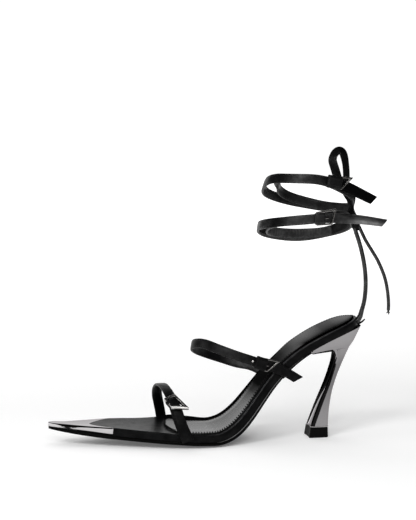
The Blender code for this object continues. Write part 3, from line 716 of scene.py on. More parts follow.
def sockRing(x):
    centre, half = sockSpan(x)
    edge = min(sock["edge"], half / 2)
    floor = -sock["gap"]
    top = []
    for part in np.linspace(-1, 1, sock["points"]):
        y = (half - edge) * part
        top.append((y, bedHang(x, centre + y) + floor - sockThick(x, half - y)))
    sides = []
    for sign in (1, -1):
        rim, thick = bedHang(x, centre + sign * half) + floor, sockThick(x, half - sign * half)
        drop = min(1, sock["roundDrop"] * thick / edge)
        side = [(half - edge + out, rim - thick + down * drop) for out, down in arc(edge, sock["roundSteps"])]
        sides.append([(sign * y, depth) for y, depth in side + [(half, rim)]])
    under = []
    for part in np.linspace(sock["underShare"], -sock["underShare"], sock["underPoints"]):
        under.append((half * part, bedHang(x, centre + half * part) + floor))
    ring = top + sides[0] + under + sides[1][::-1]
    return [bedPoint(x, centre + y, depth) for y, depth in ring]


def sockTone(x):
    # share of shine round the section, which also scales the colour: in the seat painted light on the far
    # side, painted shade on the near side
    (far, near), (start, full) = sock["tone"], sock["seat"]
    weight = held((x - start) / (full - start))
    across = np.linspace(0, 1, sock["points"])
    side = sock["roundSteps"] + 1
    tones = [near + (far - near) * part ** sock["fall"] for part in across]
    tones += [far] * side + [1.0] * sock["underPoints"] + [near] * side
    return [1 + (tone - 1) * weight for tone in tones]


def sockPlaces():
    first, final = sock["front"] + sock["frontArc"], sock["back"] - sock["backArc"]
    curved = crowded(sock["arcTip"], 1, sock["arcSteps"], 2)
    places = [first - sock["frontArc"] * (1 - part) for part in curved]
    places += stations(first, final, sock["stations"], 0)[1:-1]
    return places + [final + sock["backArc"] * (1 - part) for part in reversed(curved)]


def stitchLine(places):
    # all round the sock, a little inside its edge
    line = []
    for side in (-1, 1):
        row = []
        for x in places:
            centre, half = sockSpan(x)
            y = centre + side * max(half - stitches["inset"], 0)
            row.append(bedPoint(x, y, bedHang(x, y) - sock["gap"] - sockThick(x, centre + half - y)))
        line += row if side < 0 else row[::-1]
    return line + [line[0]]


def makeStitches(places):
    line = stitchLine(places)
    along = lengths(line)
    shape = bmesh.new()
    for k in range(int(along[-1] / stitches["pitch"])):
        ends = []
        for step in (-stitches["half"], stitches["half"]):
            spot = (k + 0.5) * stitches["pitch"] + step
            ends.append(Vector([np.interp(spot, along, [point[i] for point in line]) for i in range(3)]))
        middle, run = (ends[0] + ends[1]) / 2, ends[1] - ends[0]
        high = stitches["tall"] if middle.y < 0 and middle.x < stitches["tallTo"] else stitches["low"]
        turn = run.to_track_quat("X", "Z").to_matrix().to_4x4()
        size = Matrix.Diagonal((run.length / 2, stitches["wide"], high, 1))
        place = Matrix.Scale(mm, 4) @ (Matrix.Translation(middle) @ turn @ size)
        bmesh.ops.create_uvsphere(shape, u_segments=6, v_segments=4, radius=1, matrix=place)
    addPiece("sockStitches", shape, blackThread, sharp=0)


def makeSock():
    places = sockPlaces()
    shape = skinOver([sockRing(x) for x in places], glossAndPaintedLight=[sockTone(x) for x in places])
    addPiece("sock", shape, greyKid, ["sock"], sharp=50)
    makeStitches(places)


makeSock()


# Heel: flared plated shaft under a plate that holds the seat, with a lip, a rim and a top lift
heel = {"columns": "height front back half power hollow chamfer", "rows": [
    (8.3, 97.6, 112.1, 8.9, 7.0, 0.9, 2.0), (14.5, 99.6, 112.4, 8.6, 7.0, 1.1, 2.2),
    (22.0, 102.4, 113.0, 8.3, 7.0, 1.3, 2.3), (30.0, 105.6, 114.2, 8.1, 6.0, 1.7, 2.2),
    (37.0, 108.7, 115.7, 8.0, 5.0, 2.4, 2.0), (44.0, 111.6, 117.8, 8.0, 4.5, 2.9, 1.8),
    (50.0, 113.8, 119.9, 8.05, 4.2, 3.0, 1.6), (56.0, 115.8, 122.4, 8.2, 4.0, 3.0, 1.5),
    (62.0, 117.5, 125.2, 8.5, 3.6, 2.8, 1.5), (66.6, 118.4, 127.7, 8.8, 3.2, 2.5, 1.5),
    (69.0, 118.4, 129.2, 9.0, 3.0, 2.2, 1.5)], "blur": 1.6, "levels": [(8.3, 60.0, 60), (60.5, 69.0, 24)],
    "swellFrom": 56.0, "swellRun": 13.8, "frontSteps": 10, "cornerSteps": 4, "backSteps": 22,
    "breastPoints": 15, "chamferRun": 1.3, "chamferPower": 1.3,
    # the plating's tone by height: painted shade at the waist, painted light towards the top
    "tone": [(8, 1.1), (20, 1.0), (34, 0.8), (48, 0.66), (58, 0.7), (66, 1.05), (74, 1.25), (84, 1.3),
             (95, 1.35)]}
plate = {"columns": "height back half wing", "rows": [
    (69.8, 129.6, 13.6, 6.4), (72.6, 131.0, 16.2, 4.0), (76.5, 132.9, 18.8, 1.8), (82.0, 135.5, 20.4, 0.5),
    (88.0, 138.4, 20.8, 0.1), (94.0, 141.0, 20.9, 0.0)], "blur": 0.8, "levels": (69.8, 93.0, 70),
    "front": 96.5, "power": 3.0, "split": 118.4, "edge": 0.5, "edgeHeight": 69.3, "edgeFront": 2.0,
    "edgeBack": 0.4, "lip": 69.8, "rise": 0.1, "riseRun": 7.0, "riseFrom": 108.0, "riseTo": 119.0,
    "seatFrom": 84.0, "seatSteps": 120, "gap": 0.2}
heelRim = {"middle": 104.8, "rows": [(0.1, 8.2), (0.45, 8.5), (0.45, 9.0), (-0.3, 9.2)]}
heelLip = {"rows": [(0.5, 0.2), (0.2, -0.35), (-1.0, -0.35), (-1.2, 0.2)], "points": 16, "back": 114.0,
           "ahead": 0.2, "inset": 0.1, "below": 0.2, "frontDeep": 0.4, "backDeep": 0.6}
topLift = {"rows": [(0.0, 96.2, 112.3, 9.3), (8.0, 97.5, 112.1, 9.0)], "steps": 4, "power": 7.0,
           "hollow": 0.6, "bevel": 0.5}


def heelWide(x, front, back, half, power, wing):
    part = held((x - front) / (back - front))
    return half * (1 - part ** power) ** (1 / power) + wing * (1 - part) ** 2


def heelRing(height, front, back, half, power, hollow=0.0, chamfer=0.0, wing=0.0, split=None, toward=None):
    # from the front corner round the back and along the breast; split is where the shaft's own front lies
    split = split or front
    bevel = chamfer * heel["chamferRun"]
    fronts, corners, backs = heel["frontSteps"], heel["cornerSteps"], heel["backSteps"]
    places = [front + (split - front) * k / fronts for k in range(fronts)]
    places += [split + bevel * k / corners for k in range(corners)]
    turns = [math.pi / 2 * k / backs for k in range(backs + 1)]
    places += [split + bevel + (back - split - bevel) * math.sin(t) for t in turns]
    side = []
    for x in places:
        wide = heelWide(x, front, back, half, power, wing)
        if toward:        # the shaft swells into the plate above it
            weight, above = toward
            start, end = above[:2]
            reach = start + (end - start) * min((x - start) / (back - start), 1)
            wide += (heelWide(reach, *above) - wide) * weight
        if chamfer:
            wide -= chamfer * max(1 - (x - front) / bevel, 0) ** heel["chamferPower"]
        side.append((x, wide))
    corner = side[0][1]
    across = np.linspace(-1, 1, heel["breastPoints"])[1:-1]
    breast = [(front + hollow * (1 - part ** 2), corner * part) for part in across]
    outline = side + [(x, -y) for x, y in reversed(side[:-1])] + breast
    lift = max(1 - abs(height - plate["lip"]) / plate["riseRun"], 0)
    spots = []
    for x, y in outline:        # near the plate's lower edge the levels rise towards the back
        rise = plate["rise"] * (min(x, plate["riseTo"]) - plate["riseFrom"]) * lift
        spots.append(Vector((x, y, height + rise)))
    return spots


def shaftRings(above):
    line = linesOf(heel)
    rings = []
    for span in heel["levels"]:
        for height in np.linspace(*span):
            part = held((height - heel["swellFrom"]) / heel["swellRun"])
            sizes = [curve(height) for curve in line.values()]
            rings.append(heelRing(height, *sizes, toward=(part * part, above)))
    return rings


def plateRings(line):
    levels = [(plate["edgeHeight"], plate["edge"])]        # (height, how far its lower edge is drawn in)
    levels += [(height, 0.0) for height in np.linspace(*plate["levels"])]
    rings = []
    for height, inward in levels:
        at = max(height, plate["lip"])
        front = plate["front"] + plate["edgeFront"] * inward
        back = line["back"](at) - inward * plate["edgeBack"]
        rings.append(heelRing(height, front, back, line["half"](at), plate["power"],
                              wing=line["wing"](at) - inward, split=plate["split"]))
    return rings


def meetBed(rings):
    # each line up the heel stops where it meets the bed's underside
    places = np.linspace(plate["seatFrom"], heelEnd, plate["seatSteps"])
    under = [bedPoint(x, 0, lastLine["wall"](x) + plate["gap"]) for x in places]
    seatX, seatZ = [spot.x for spot in under], [spot.z for spot in under]
    stops = [None] * len(rings[0])
    for before, ring in zip(rings, rings[1:]):
        for k, spot in enumerate(ring):
            if stops[k] is None:
                gapNow = np.interp(spot.x, seatX, seatZ) - spot.z
                gapWas = np.interp(before[k].x, seatX, seatZ) - before[k].z
                if gapNow < 0:
                    stops[k] = before[k].lerp(spot, gapWas / (gapWas - gapNow))
            if stops[k] is not None:
                ring[k] = stops[k].copy()


def makeHeelRim(foot):
    # a narrow rim above the top lift, bright in the toe cap's lighter copy of the chrome, painted light
    middle = Vector((heelRim["middle"], 0, heel["rows"][0][0]))
    rings = []
    for out, height in heelRim["rows"]:
        spots = [spot + (spot - middle).normalized() * out for spot in foot]
        rings.append([Vector((spot.x, spot.y, height)) for spot in spots])
    addPiece("heelRim", skinOver(rings), capChromeLitCopy, sharp=30)


def makeHeelLip(above):
    # a thin black strip under the plate's front
    strip = []
    for drop, inward in heelLip["rows"]:
        row = []
        for side in (-1, 1):
            there, back = np.linspace(0, 1, heelLip["points"]), np.linspace(1, 0, heelLip["points"])
            for part in there if side < 0 else back:
                x = plate["front"] + heelLip["ahead"] + inward + (heelLip["back"] - plate["front"]) * part
                y = heelWide(x, *above) - heelLip["inset"] - inward
                height = plate["lip"] - heelLip["below"]
                height += drop * (heelLip["frontDeep"] + heelLip["backDeep"] * part)
                height += plate["rise"] * (x - plate["riseFrom"])
                row.append(Vector((x, side * y, height)))
        strip.append(row)
    addPiece("heelLip", skinOver(strip), blackSole)


def makeTopLift():
    low, high = [heelRing(height, front, back, half, topLift["power"], topLift["hollow"])
                 for height, front, back, half in topLift["rows"]]
    rings = [[a.lerp(b, t) for a, b in zip(low, high)] for t in np.linspace(0, 1, topLift["steps"])]
    piece = addPiece("heelTip", skinOver(rings), topLiftRubber, ["heel_tip"])
    softEdges(piece, topLift["bevel"], segments=3)


def makeHeel():
    line = linesOf(plate)
    lip = plate["lip"]
    above = (plate["front"], line["back"](lip), line["half"](lip), plate["power"], line["wing"](lip))
    rings = shaftRings(above)
    makeHeelRim(rings[0])
    rings += plateRings(line)
    meetBed(rings)
    # painted light and shade by height, scaling the plating's colour
    tone = [[between(spot.z, heel["tone"]) for spot in ring] for ring in rings]
    addPiece("heel", skinOver(rings, glossAndPaintedLight=tone), heelChrome, ["heel"], sharp=38)
    makeHeelLip(above)
    makeTopLift()


makeHeel()


# Straps: folded calf with rounded edges
strap = {"width": 7.4, "thick": 1.8, "round": 0.7, "roundSteps": 8, "dome": 0.12, "facePoints": 11,
         "backPoints": 9, "steps": 9, "flare": [(0, 1), (1, 1)]}


def fromSpine(start, end):
    # outward side of a strap: away from a line inside the foot or ankle
    start, end = Vector(start), Vector(end)
    run = end - start

    def away(spot):
        part = (spot - start).dot(run) / run.length_squared
        return spot - start - run * held(part)

    return away


def strapFrame(route, number, away):
    forward = (route[min(number + 1, len(route) - 1)] - route[max(number - 1, 0)]).normalized()
    out = away(route[number])
    out = (out - forward * out.dot(forward)).normalized()
    return forward, out, forward.cross(out)


def strapSection(width, thick):
    # (across, outwards) round the strap, starting on the outer face
    radius = min(strap["round"], thick / 2)
    edge, face = width / 2 - radius, thick / 2
    across = np.linspace(-edge, edge, strap["facePoints"])
    outer = [(x, face + strap["dome"] * (1 - (x / edge) ** 2)) for x in across]
    right = []
    for k in range(1, strap["roundSteps"]):
        turn = math.pi * k / strap["roundSteps"]
        middle = (face - radius) * (1 if turn < math.pi / 2 else -1)
        right.append((edge + radius * math.sin(turn), middle + radius * math.cos(turn)))
    inner = [(x, -face) for x in np.linspace(edge, -edge, strap["backPoints"])]
    left = [(-x, y) for x, y in reversed(right)]
    return outer + right + inner + left


def makeStrap(name, route, away, nodes, own, crease=None):
    # own is the strap's dictionary; a cut slants the end of the tail
    width, thick = own.get("width", strap["width"]), own.get("thick", strap["thick"])
    section = strapSection(width, thick)
    places = lengths(route)
    rings, marks, shine = [], [], []
    for number, (spot, along) in enumerate(zip(route, places)):
        forward, out, wide = strapFrame(route, number, away)
        part = along / places[-1]
        spread = between(part, own.get("flare", strap["flare"]))
        cut = own.get("startCut", 0.0) * max(0, 1 - along / width)
        cut += own.get("endCut", 0.0) * max(0, 1 - (places[-1] - along) / width)
        ring = []
        for x, y in section:
            depth = y + (crease(along, x, y) if crease else 0)
            ring.append(spot + wide * x * spread + out * depth + forward * x * cut)
        rings.append(ring)
        marks.append([(along, x) for x, y in section])
        # each strap's listed share of shine along its length, low where the strap lies dark and high where it
        # shows sheen; past 1 it lightens the colour too, a painted highlight
        shine.append([between(part, own["glossAndPaintedLight"])] * len(section))
    shape = skinOver(rings, marks=marks, glossAndPaintedLight=shine)
    return addPiece(name, shape, strapCalf, nodes, sharp=45)


toeStrap = {"rows": [
    (-4.6, -37.2, 6.4), (-6.0, -38.2, 10.0), (-9.2, -38.6, 17.0), (-11.5, -37.8, 23.5), (-13.4, -35.4, 30.0),
    (-15.4, -29.8, 36.8), (-17.8, -20.6, 42.6), (-19.6, -10.0, 45.4), (-20.8, 1.0, 44.6), (-21.0, 12.0, 40.0),
    (-19.8, 22.0, 33.4), (-17.4, 30.0, 25.0), (-15.2, 34.8, 16.4), (-14.0, 36.2, 9.0), (-13.6, 35.8, 4.6)],
    "spine": ((-60.0, 0.0, 14.0), (30.0, 0.0, 14.0)),
    "flare": [(0, 1.26), (0.2, 1.26), (0.3, 1.06), (0.4, 1.0), (0.6, 1.0), (0.75, 1.1), (1, 1.1)],
    "glossAndPaintedLight": [(0, 0.12), (0.3, 0.12), (0.36, 0.3), (0.5, 0.3), (0.6, 0.12), (1, 0.12)]}
instepStrap = {"rows": [
    (67.0, 21.0, 46.6), (62.0, 21.9, 50.6), (55.0, 25.0, 53.6), (45.0, 28.0, 55.4), (33.0, 28.4, 59.4),
    (22.0, 24.0, 63.6), (11.2, 15.6, 68.6), (5.6, 5.0, 73.2), (5.6, -6.0, 77.0), (11.4, -17.4, 78.2),
    (22.0, -25.0, 74.6), (34.0, -28.2, 70.2), (46.0, -28.0, 66.0), (57.0, -27.0, 62.0), (67.0, -26.2, 58.6),
    (75.0, -26.0, 55.0), (83.4, -26.2, 49.8)],
    "spine": ((31.0, 0.0, 69.0), (90.0, 0.0, 46.0)), "endCut": -0.6,
    "glossAndPaintedLight": [(0, 0.4), (0.35, 0.4), (0.42, 0.15), (0.52, 0.15), (0.6, 0.35), (0.74, 0.35), (0.82, 0.2),
              (1, 0.12)]}
instepAnchor = {"rows": [
    (75.0, -23.4, 52.6), (70.6, -23.9, 58.0), (65.6, -24.6, 60.4), (59.0, -26.0, 61.6)],
    "glossAndPaintedLight": [(0, 0.2), (1, 0.2)]}
ankle = {"centre": 94.4, "long": 36.6, "wide": 26.4, "start": -75.0, "even": 50, "shin": 84.0,
         "shinRun": 24.0, "spine": ((94.4, 0.0, 100.0), (94.4, 0.0, 260.0))}
lowerStrap = {"columns": "turned reach height", "rows": [
    (0, 0.2, 174.6), (15, 0.0, 174.2), (60, 0.4, 171.4), (105, 0.6, 167.2), (150, 0.4, 159.5),
    (195, 0.0, 155.6), (240, 0.0, 160.4), (285, 0.0, 168.0), (318, -2.2, 175.2), (345, -2.6, 176.0),
    (368, -2.8, 174.0), (420, -3.4, 171.4), (465, -6.6, 166.6), (510, -4.6, 161.0), (555, -2.8, 158.6),
    (588, -2.8, 159.6), (602, -2.6, 161.8), (630, -1.6, 167.0), (650, -0.2, 170.5)], "blur": 6.0,
    "tail": [(152.6, -20.8, 169.6), (140.0, -22.4, 171.8), (128.0, -24.0, 173.4), (116.0, -25.4, 174.4)],
    "fold": 603, "startCut": -0.6, "lean": 0.2, "flare": [(0, 0.85), (0.05, 0.96), (0.08, 1), (1, 1)],
    # past 1, as on the tail, the share of shine lightens the colour: a painted highlight
    "glossAndPaintedLight": [
        (0, 2.0), (0.01, 3.2), (0.05, 4.0), (0.065, 2.2), (0.08, 0.6), (0.1, 0.6), (0.13, 0.6), (0.17, 0.75),
        (0.195, 0.65), (0.21, 0.3), (0.225, 0.1), (0.24, 0.3), (0.26, 1.1), (0.3, 1.0)],
    "foldGloss": [(-0.004, 1.0), (0.0, 0.2)], "endGloss": (1, 0.3)}
upperStrap = {"columns": "turned reach height", "rows": [
    (0, 0.2, 203.4), (15, 0.0, 205.0), (60, -0.8, 205.2), (105, -4.0, 199.2), (150, -1.0, 190.4),
    (195, 0.0, 183.0), (240, 0.0, 179.2), (285, 0.0, 180.6), (298, 1.6, 187.6), (330, -2.5, 196.8),
    (375, -2.8, 204.6), (420, -4.8, 205.0), (462, -12.8, 202.8), (480, -13.2, 200.6), (494, -13.8, 198.2),
    (514, -8.8, 194.2), (555, -2.8, 185.4), (600, -2.8, 180.0), (630, -1.6, 179.6), (650, 0.0, 179.4)],
    "blur": 6.0,
    "tail": [(145.6, -14.0, 186.8), (135.0, -17.6, 192.0), (124.0, -21.0, 197.2), (114.0, -24.2, 201.4)],
    "startCut": -0.85, "lean": 0.4, "flare": [(0, 1.3), (0.07, 1.25), (0.11, 1.0), (1, 1.0)], "glossAndPaintedLight": [
        (0, 0.1), (0.08, 0.1), (0.1, 0.25), (0.13, 0.4), (0.15, 0.6), (0.17, 1.1), (0.185, 0.8), (0.2, 0.3),
        (0.22, 0.15), (0.27, 0.5), (0.5, 0.7), (0.75, 0.7), (0.9, 0.5), (1, 0.3)]}
bow = {"rows": [
    (119.5, -7.9, 199.0), (117.4, -7.5, 207.0), (115.0, -7.2, 214.6), (114.2, -7.0, 218.0),
    (114.9, -6.7, 221.2), (117.0, -6.1, 224.1), (120.0, -5.9, 225.7), (122.4, -5.7, 224.1),
    (124.0, -5.3, 220.4), (125.2, -4.9, 214.6), (125.8, -4.8, 208.0), (125.6, -5.1, 203.0),
    (123.7, -5.9, 197.0)],
    "width": 7.7, "thick": 1.4, "glossAndPaintedLight": [(0, 0.2), (0.2, 0.2), (0.35, 0.4), (0.45, 0.12), (1, 0.12)],
    "flare": [(0, 0.92), (0.35, 0.92), (0.5, 0.86), (0.65, 0.9), (0.8, 0.92), (1, 0.92)],
    "faces": [(0, -120), (0.24, -126), (0.34, -134), (0.42, -116), (0.5, -90), (0.6, -80), (0.75, -58),
              (1, -55)],
    "lean": [(0, 0), (0.3, 0.1), (0.5, 0.8), (0.66, 0.1), (1, 0)]}
creases = {"dome": 1.2, "domeHalf": 3.7, "domeEnd": 40.0, "domeRun": 8.0, "fold": 1.0, "foldRun": 1.0,
           "wrinkle": 0.4, "pitch": 2.7, "waver": 0.5, "waverRun": 3.1, "beforeFold": 30.0, "beforeRun": 20.0,
           "shin": 122.0, "shinRun": 24.0, "shinShare": 0.6}


def loopRoute(loop):
    # a straight tail, then round the ankle degree by degree
    line = linesOf(loop)
    route = routeThrough(loop["tail"], strap["steps"])
    for turned in range(loop["rows"][-1][0] + 1):
        angle = math.radians(ankle["start"] - turned)
        reach = line["reach"](turned)
        route.append(Vector((ankle["centre"] + (ankle["long"] + reach) * math.cos(angle),
                             (ankle["wide"] + reach) * math.sin(angle), line["height"](turned))))
    return route


toeRoute = routeThrough(toeStrap["rows"], strap["steps"])
instepRoute = routeThrough(instepStrap["rows"], strap["steps"])
anchorRoute = routeThrough(instepAnchor["rows"], strap["steps"])
lowerRoute, upperRoute = loopRoute(lowerStrap), loopRoute(upperStrap)
lowerEven, upperEven = evened(lowerRoute, ankle["even"]), evened(upperRoute, ankle["even"])
bowRoute = routeThrough(bow["rows"], strap["steps"])
toeAway, instepAway = fromSpine(*toeStrap["spine"]), fromSpine(*instepStrap["spine"])
ankleAway = fromSpine(*ankle["spine"])


def bowAway(spot):
    # the ribbon's outer face turns from the left leg over the top, where it looks up, to the right leg
    number = min(range(len(bowRoute)), key=lambda k: (bowRoute[k] - spot).length)
    part = number / (len(bowRoute) - 1)
    angle = math.radians(between(part, bow["faces"]))
    return Vector((math.cos(angle), math.sin(angle), between(part, bow["lean"])))


def leaning(amount):
    # the ankle loops lean inwards at the shin, as on a leg that narrows upwards
    def away(spot):
        out = ankleAway(spot)
        return out + Vector((0, 0, amount * out.length * held((ankle["shin"] - spot.x) / ankle["shinRun"])))

    return away


tailPoints = (len(lowerStrap["tail"]) - 1) * strap["steps"] + 1        # both ankle straps have such a tail
lowerAlong = lengths(lowerEven)
foldAt = lowerAlong[tailPoints + lowerStrap["fold"]]
foldGloss = [(foldAt / lowerAlong[-1] + step, level) for step, level in lowerStrap["foldGloss"]]
lowerStrap["glossAndPaintedLight"] += foldGloss + [lowerStrap["endGloss"]]


def bell(distance, run):
    return math.exp(-(distance / run) ** 2)


def lowerCrease(along, across, depth):
    # a domed tail; soft upright wrinkles inside the far side and one sharp fold before the tie
    if depth > 0:
        crown = 1 - min(abs(across) / creases["domeHalf"], 1) ** 2
        return creases["dome"] * crown * held((creases["domeEnd"] - along) / creases["domeRun"])
    window = bell(along - foldAt + creases["beforeFold"], creases["beforeRun"])
    window += creases["shinShare"] * bell(along - creases["shin"], creases["shinRun"])
    waver = creases["waver"] * math.sin(along / creases["waverRun"])
    ripple = 0.5 + 0.5 * math.sin(2 * math.pi * along / creases["pitch"] + waver)
    return creases["fold"] * bell(along - foldAt, creases["foldRun"]) - creases["wrinkle"] * window * ripple


makeStrap("toeStrap", toeRoute, toeAway, ["toe_strap"], toeStrap)
makeStrap("instepStrap", instepRoute, instepAway, ["instep_strap"], instepStrap)
makeStrap("instepAnchor", anchorRoute, instepAway, [], instepAnchor)
makeStrap("ankleStrapLower", lowerEven, leaning(lowerStrap["lean"]), ["ankle_strap_lower"], lowerStrap,
          lowerCrease)
makeStrap("ankleStrapUpper", upperEven, leaning(upperStrap["lean"]), ["ankle_strap_upper"], upperStrap)
makeStrap("bow", bowRoute, bowAway, ["bow"], bow)


# Buckles: four-sided frames with one slanted end, each with its prong and the strap's fold round its bar
buckle = {"thick": 1.6, "bevel": 0.4, "gap": 0.3, "point": 1.6, "prong": 1.2, "prongSpan": (2.3, 10.5),
          "prongSteps": 14, "prongPoints": 10, "prongTip": 0.15, "prongLeast": 0.02}
fold = {"thick": 0.9, "round": 0.5, "edgePower": 8, "sections": 13, "points": 32, "square": (0.4, 0.8),
        "thinner": 0.25}
buckles = {
    "toe": {"route": toeRoute, "away": toeAway, "at": 48, "flip": -1, "slide": (1.1, 2.0), "twist": -12,
            "steel": buckleSteel, "half": 4.9, "thick": 3.0, "bar": 1.7, "longSide": 18.0, "shortSide": 10.4,
            "fold": {"half": 4.3, "aside": 1.1, "start": 2.6, "reach": 10.6, "shine": 0.3}},
    "instep": {"route": instepRoute, "away": instepAway, "at": 111, "flip": 1, "slide": (0, 0), "twist": 0,
               "steel": shadedSteelCopy, "half": 4.7, "thick": 1.6, "bar": 1.2, "longSide": 18.0,
               "shortSide": 10.4,
               "fold": {"half": 5.0, "aside": 0, "start": -1.3, "reach": 8.6, "shine": 0.15}},
    "lower": {"route": lowerRoute, "away": ankleAway, "at": tailPoints + 12, "flip": -1, "slide": (0, 0),
              "twist": 0, "steel": shadedSteelCopy, "half": 5.3, "thick": 1.5, "bar": 1.3, "longSide": 16.4,
              "shortSide": 12.6,
              "fold": {"half": 4.4, "aside": 0, "start": -1.3, "reach": 7.4, "shine": 0.5}},
    "upper": {"route": upperRoute, "away": ankleAway, "at": tailPoints, "flip": -1, "slide": (2.2, 0),
              "twist": 0, "steel": shadedSteelCopy, "half": 4.7, "thick": 1.6, "bar": 1.3, "longSide": 19.8,
              "shortSide": 11.44,
              "fold": {"half": 5.0, "aside": 0, "start": -1.3, "reach": 11.4, "shine": 0.3}}}


def buckleSeat(own):
    # the buckle's own frame: x along the strap from its bar, y across, z outwards
    forward, out, wide = strapFrame(own["route"], own["at"], own["away"])
    place = own["route"][own["at"]] + out * (strap["thick"] / 2 + buckle["gap"] + buckle["thick"] / 2)
    turn = Matrix((forward * own["flip"], wide * own["flip"], out)).transposed().to_4x4()
    seat = Matrix.Translation(place * mm) @ turn @ Matrix.Translation(Vector((*own["slide"], 0)) * mm)
    return seat @ Matrix.Rotation(math.radians(own["twist"]), 4, "Z")


def makeBuckle(name, seat, own):
    half, thick = own["half"], own["thick"]
    shape = bmesh.new()
    bmesh.ops.create_grid(shape, x_segments=1, y_segments=1, size=0.5)
    for vert in shape.verts:        # the long side ends in a point that stands past the strap's edge
        low, far = vert.co.y < 0, vert.co.x > 0
        reach = (own["longSide"] if low else own["shortSide"]) if far else 0
        across = -half - (buckle["point"] if far else 0) if low else half
        vert.co = Vector((reach, across, -thick / 2)) * mm
    face = shape.faces[:][0]
    face.normal_update()
    bmesh.ops.inset_region(shape, faces=[face], thickness=own["bar"] * mm, use_boundary=True,
                           use_even_offset=True)
    bmesh.ops.delete(shape, geom=[face], context="FACES")
    raised = bmesh.ops.extrude_face_region(shape, geom=shape.faces[:], use_keep_orig=True)["geom"]
    upper = [part for part in raised if isinstance(part, bmesh.types.BMVert)]
    bmesh.ops.translate(shape, verts=upper, vec=(0, 0, thick * mm))
    bmesh.ops.recalc_face_normals(shape, faces=shape.faces)
    bmesh.ops.bevel(shape, geom=shape.edges[:], offset=buckle["bevel"] * mm, segments=3, profile=0.5,
                    affect="EDGES", material=-1, clamp_overlap=True)
    bmesh.ops.transform(shape, matrix=seat, verts=shape.verts)
    addPiece(name + "Buckle", shape, own["steel"], [name + "_buckle"], sharp=30)


def prongRadius(part):
    # a rod with a blunt rounded tip
    tip = max((part - (1 - buckle["prongTip"])) / buckle["prongTip"], 0)
    return buckle["prong"] / 2 * math.sqrt(max(1 - tip ** 2, buckle["prongLeast"]))


def makeProng(name, seat, own):
    # starts at the bar and lies over the strap
    start, end = buckle["prongSpan"]
    route = [Vector((start + (end - start) * t, 0, 0)) for t in np.linspace(0, 1, buckle["prongSteps"])]
    shape = skinOver(tubeRings(route, prongRadius, buckle["prongPoints"]))
    bmesh.ops.transform(shape, matrix=seat, verts=shape.verts)
    addPiece(name + "Prong", shape, own["steel"], [name + "_prong"], sharp=60)


def makeFold(name, seat, half, aside, start, reach, shine):
    # the strap's own end, turned back round the buckle's bar and stitched down
    deep = buckle["thick"] / 2 + fold["thick"]
    along, outwards = fold["square"]
    rings = []
    for y in np.linspace(-1, 1, fold["sections"]):
        lower = fold["round"] * (1 - math.sqrt(1 - min(abs(y), 1) ** fold["edgePower"]))
        middle, size = (reach + start) / 2, (reach - start) / 2 - lower
        ring = []
        for turn in np.linspace(0, 2 * math.pi, fold["points"] + 1)[:-1]:
            x = math.copysign(abs(math.cos(turn)) ** along, math.cos(turn))
            z = math.copysign(abs(math.sin(turn)) ** outwards, math.sin(turn))
            thin = 1 - fold["thinner"] * (x + 1) / 2
            ring.append((middle + size * x, aside + half * y, (deep - lower) * z * thin))
        rings.append(ring)
    shape = skinOver(rings, marks=[[point[:2] for point in ring] for ring in rings],
                     glossAndPaintedLight=[[shine] * fold["points"]] * fold["sections"])
    bmesh.ops.transform(shape, matrix=seat, verts=shape.verts)
    addPiece(name + "Fold", shape, strapCalf, sharp=50)


for name, own in buckles.items():
    seat = buckleSeat(own)
    makeBuckle(name, seat, own)
    makeProng(name, seat, own)
    makeFold(name, seat, **own["fold"])


# The rivet that holds the instep buckle's fold
stud = {"at": 109, "radius": 1.15, "high": 0.7}


def makeStud():
    forward, out, wide = strapFrame(instepRoute, stud["at"], instepAway)
    place = Matrix.Translation((instepRoute[stud["at"]] + out * strap["thick"] / 2) * mm)
    turn = Matrix((forward, wide, out)).transposed().to_4x4()
    size = Matrix.Diagonal((stud["radius"], stud["radius"], stud["high"], 1))
    shape = bmesh.new()
    bmesh.ops.create_uvsphere(shape, u_segments=20, v_segments=12, radius=mm, matrix=place @ turn @ size)
    addPiece("instepStud", shape, buckleSteel, sharp=0)


makeStud()


# Back tie: leather cord from the heel's back up to the ankle straps, thicker where it leaves the heel
backTie = {"diameter": 3.5, "swell": 0.55, "swellTo": 0.25, "steps": 4, "around": 10.0, "rows": [
    (133.2, 90.4), (136.4, 91.0), (138.9, 94.2), (140.2, 98.5), (142.2, 106.0), (143.2, 114.5),
    (143.3, 123.0), (142.6, 131.5), (141.2, 140.0), (139.3, 148.0), (137.2, 155.0), (135.0, 161.5),
    (133.4, 168.0), (131.4, 174.0), (130.6, 179.0)]}


def tieRadius(part):
    return backTie["diameter"] / 2 * (1 + backTie["swell"] * max(1 - part / backTie["swellTo"], 0))


def makeBackTie():
    route = routeThrough([(x, 0, z) for x, z in backTie["rows"]], backTie["steps"])
    shape = skinOver(tubeRings(route, tieRadius), marks=tubeMarks(route, backTie["around"]))
    addPiece("backTie", shape, strapCalf, ["back_tie"], sharp=60)


makeBackTie()


# Loose thread end at the heel's back
thread = {"rows": [(135.6, 0.0, 87.8), (138.2, 0.0, 88.8), (140.6, 0.0, 90.0), (142.9, 0.0, 92.0)],
          "steps": 4, "radius": 1.2, "taper": 0.55, "points": 8}


def makeThread():
    route = routeThrough(thread["rows"], thread["steps"])
    rings = tubeRings(route, lambda t: thread["radius"] * (1 - thread["taper"] * t), thread["points"])
    addPiece("heelThread", skinOver(rings), blackThread, sharp=60)


makeThread()


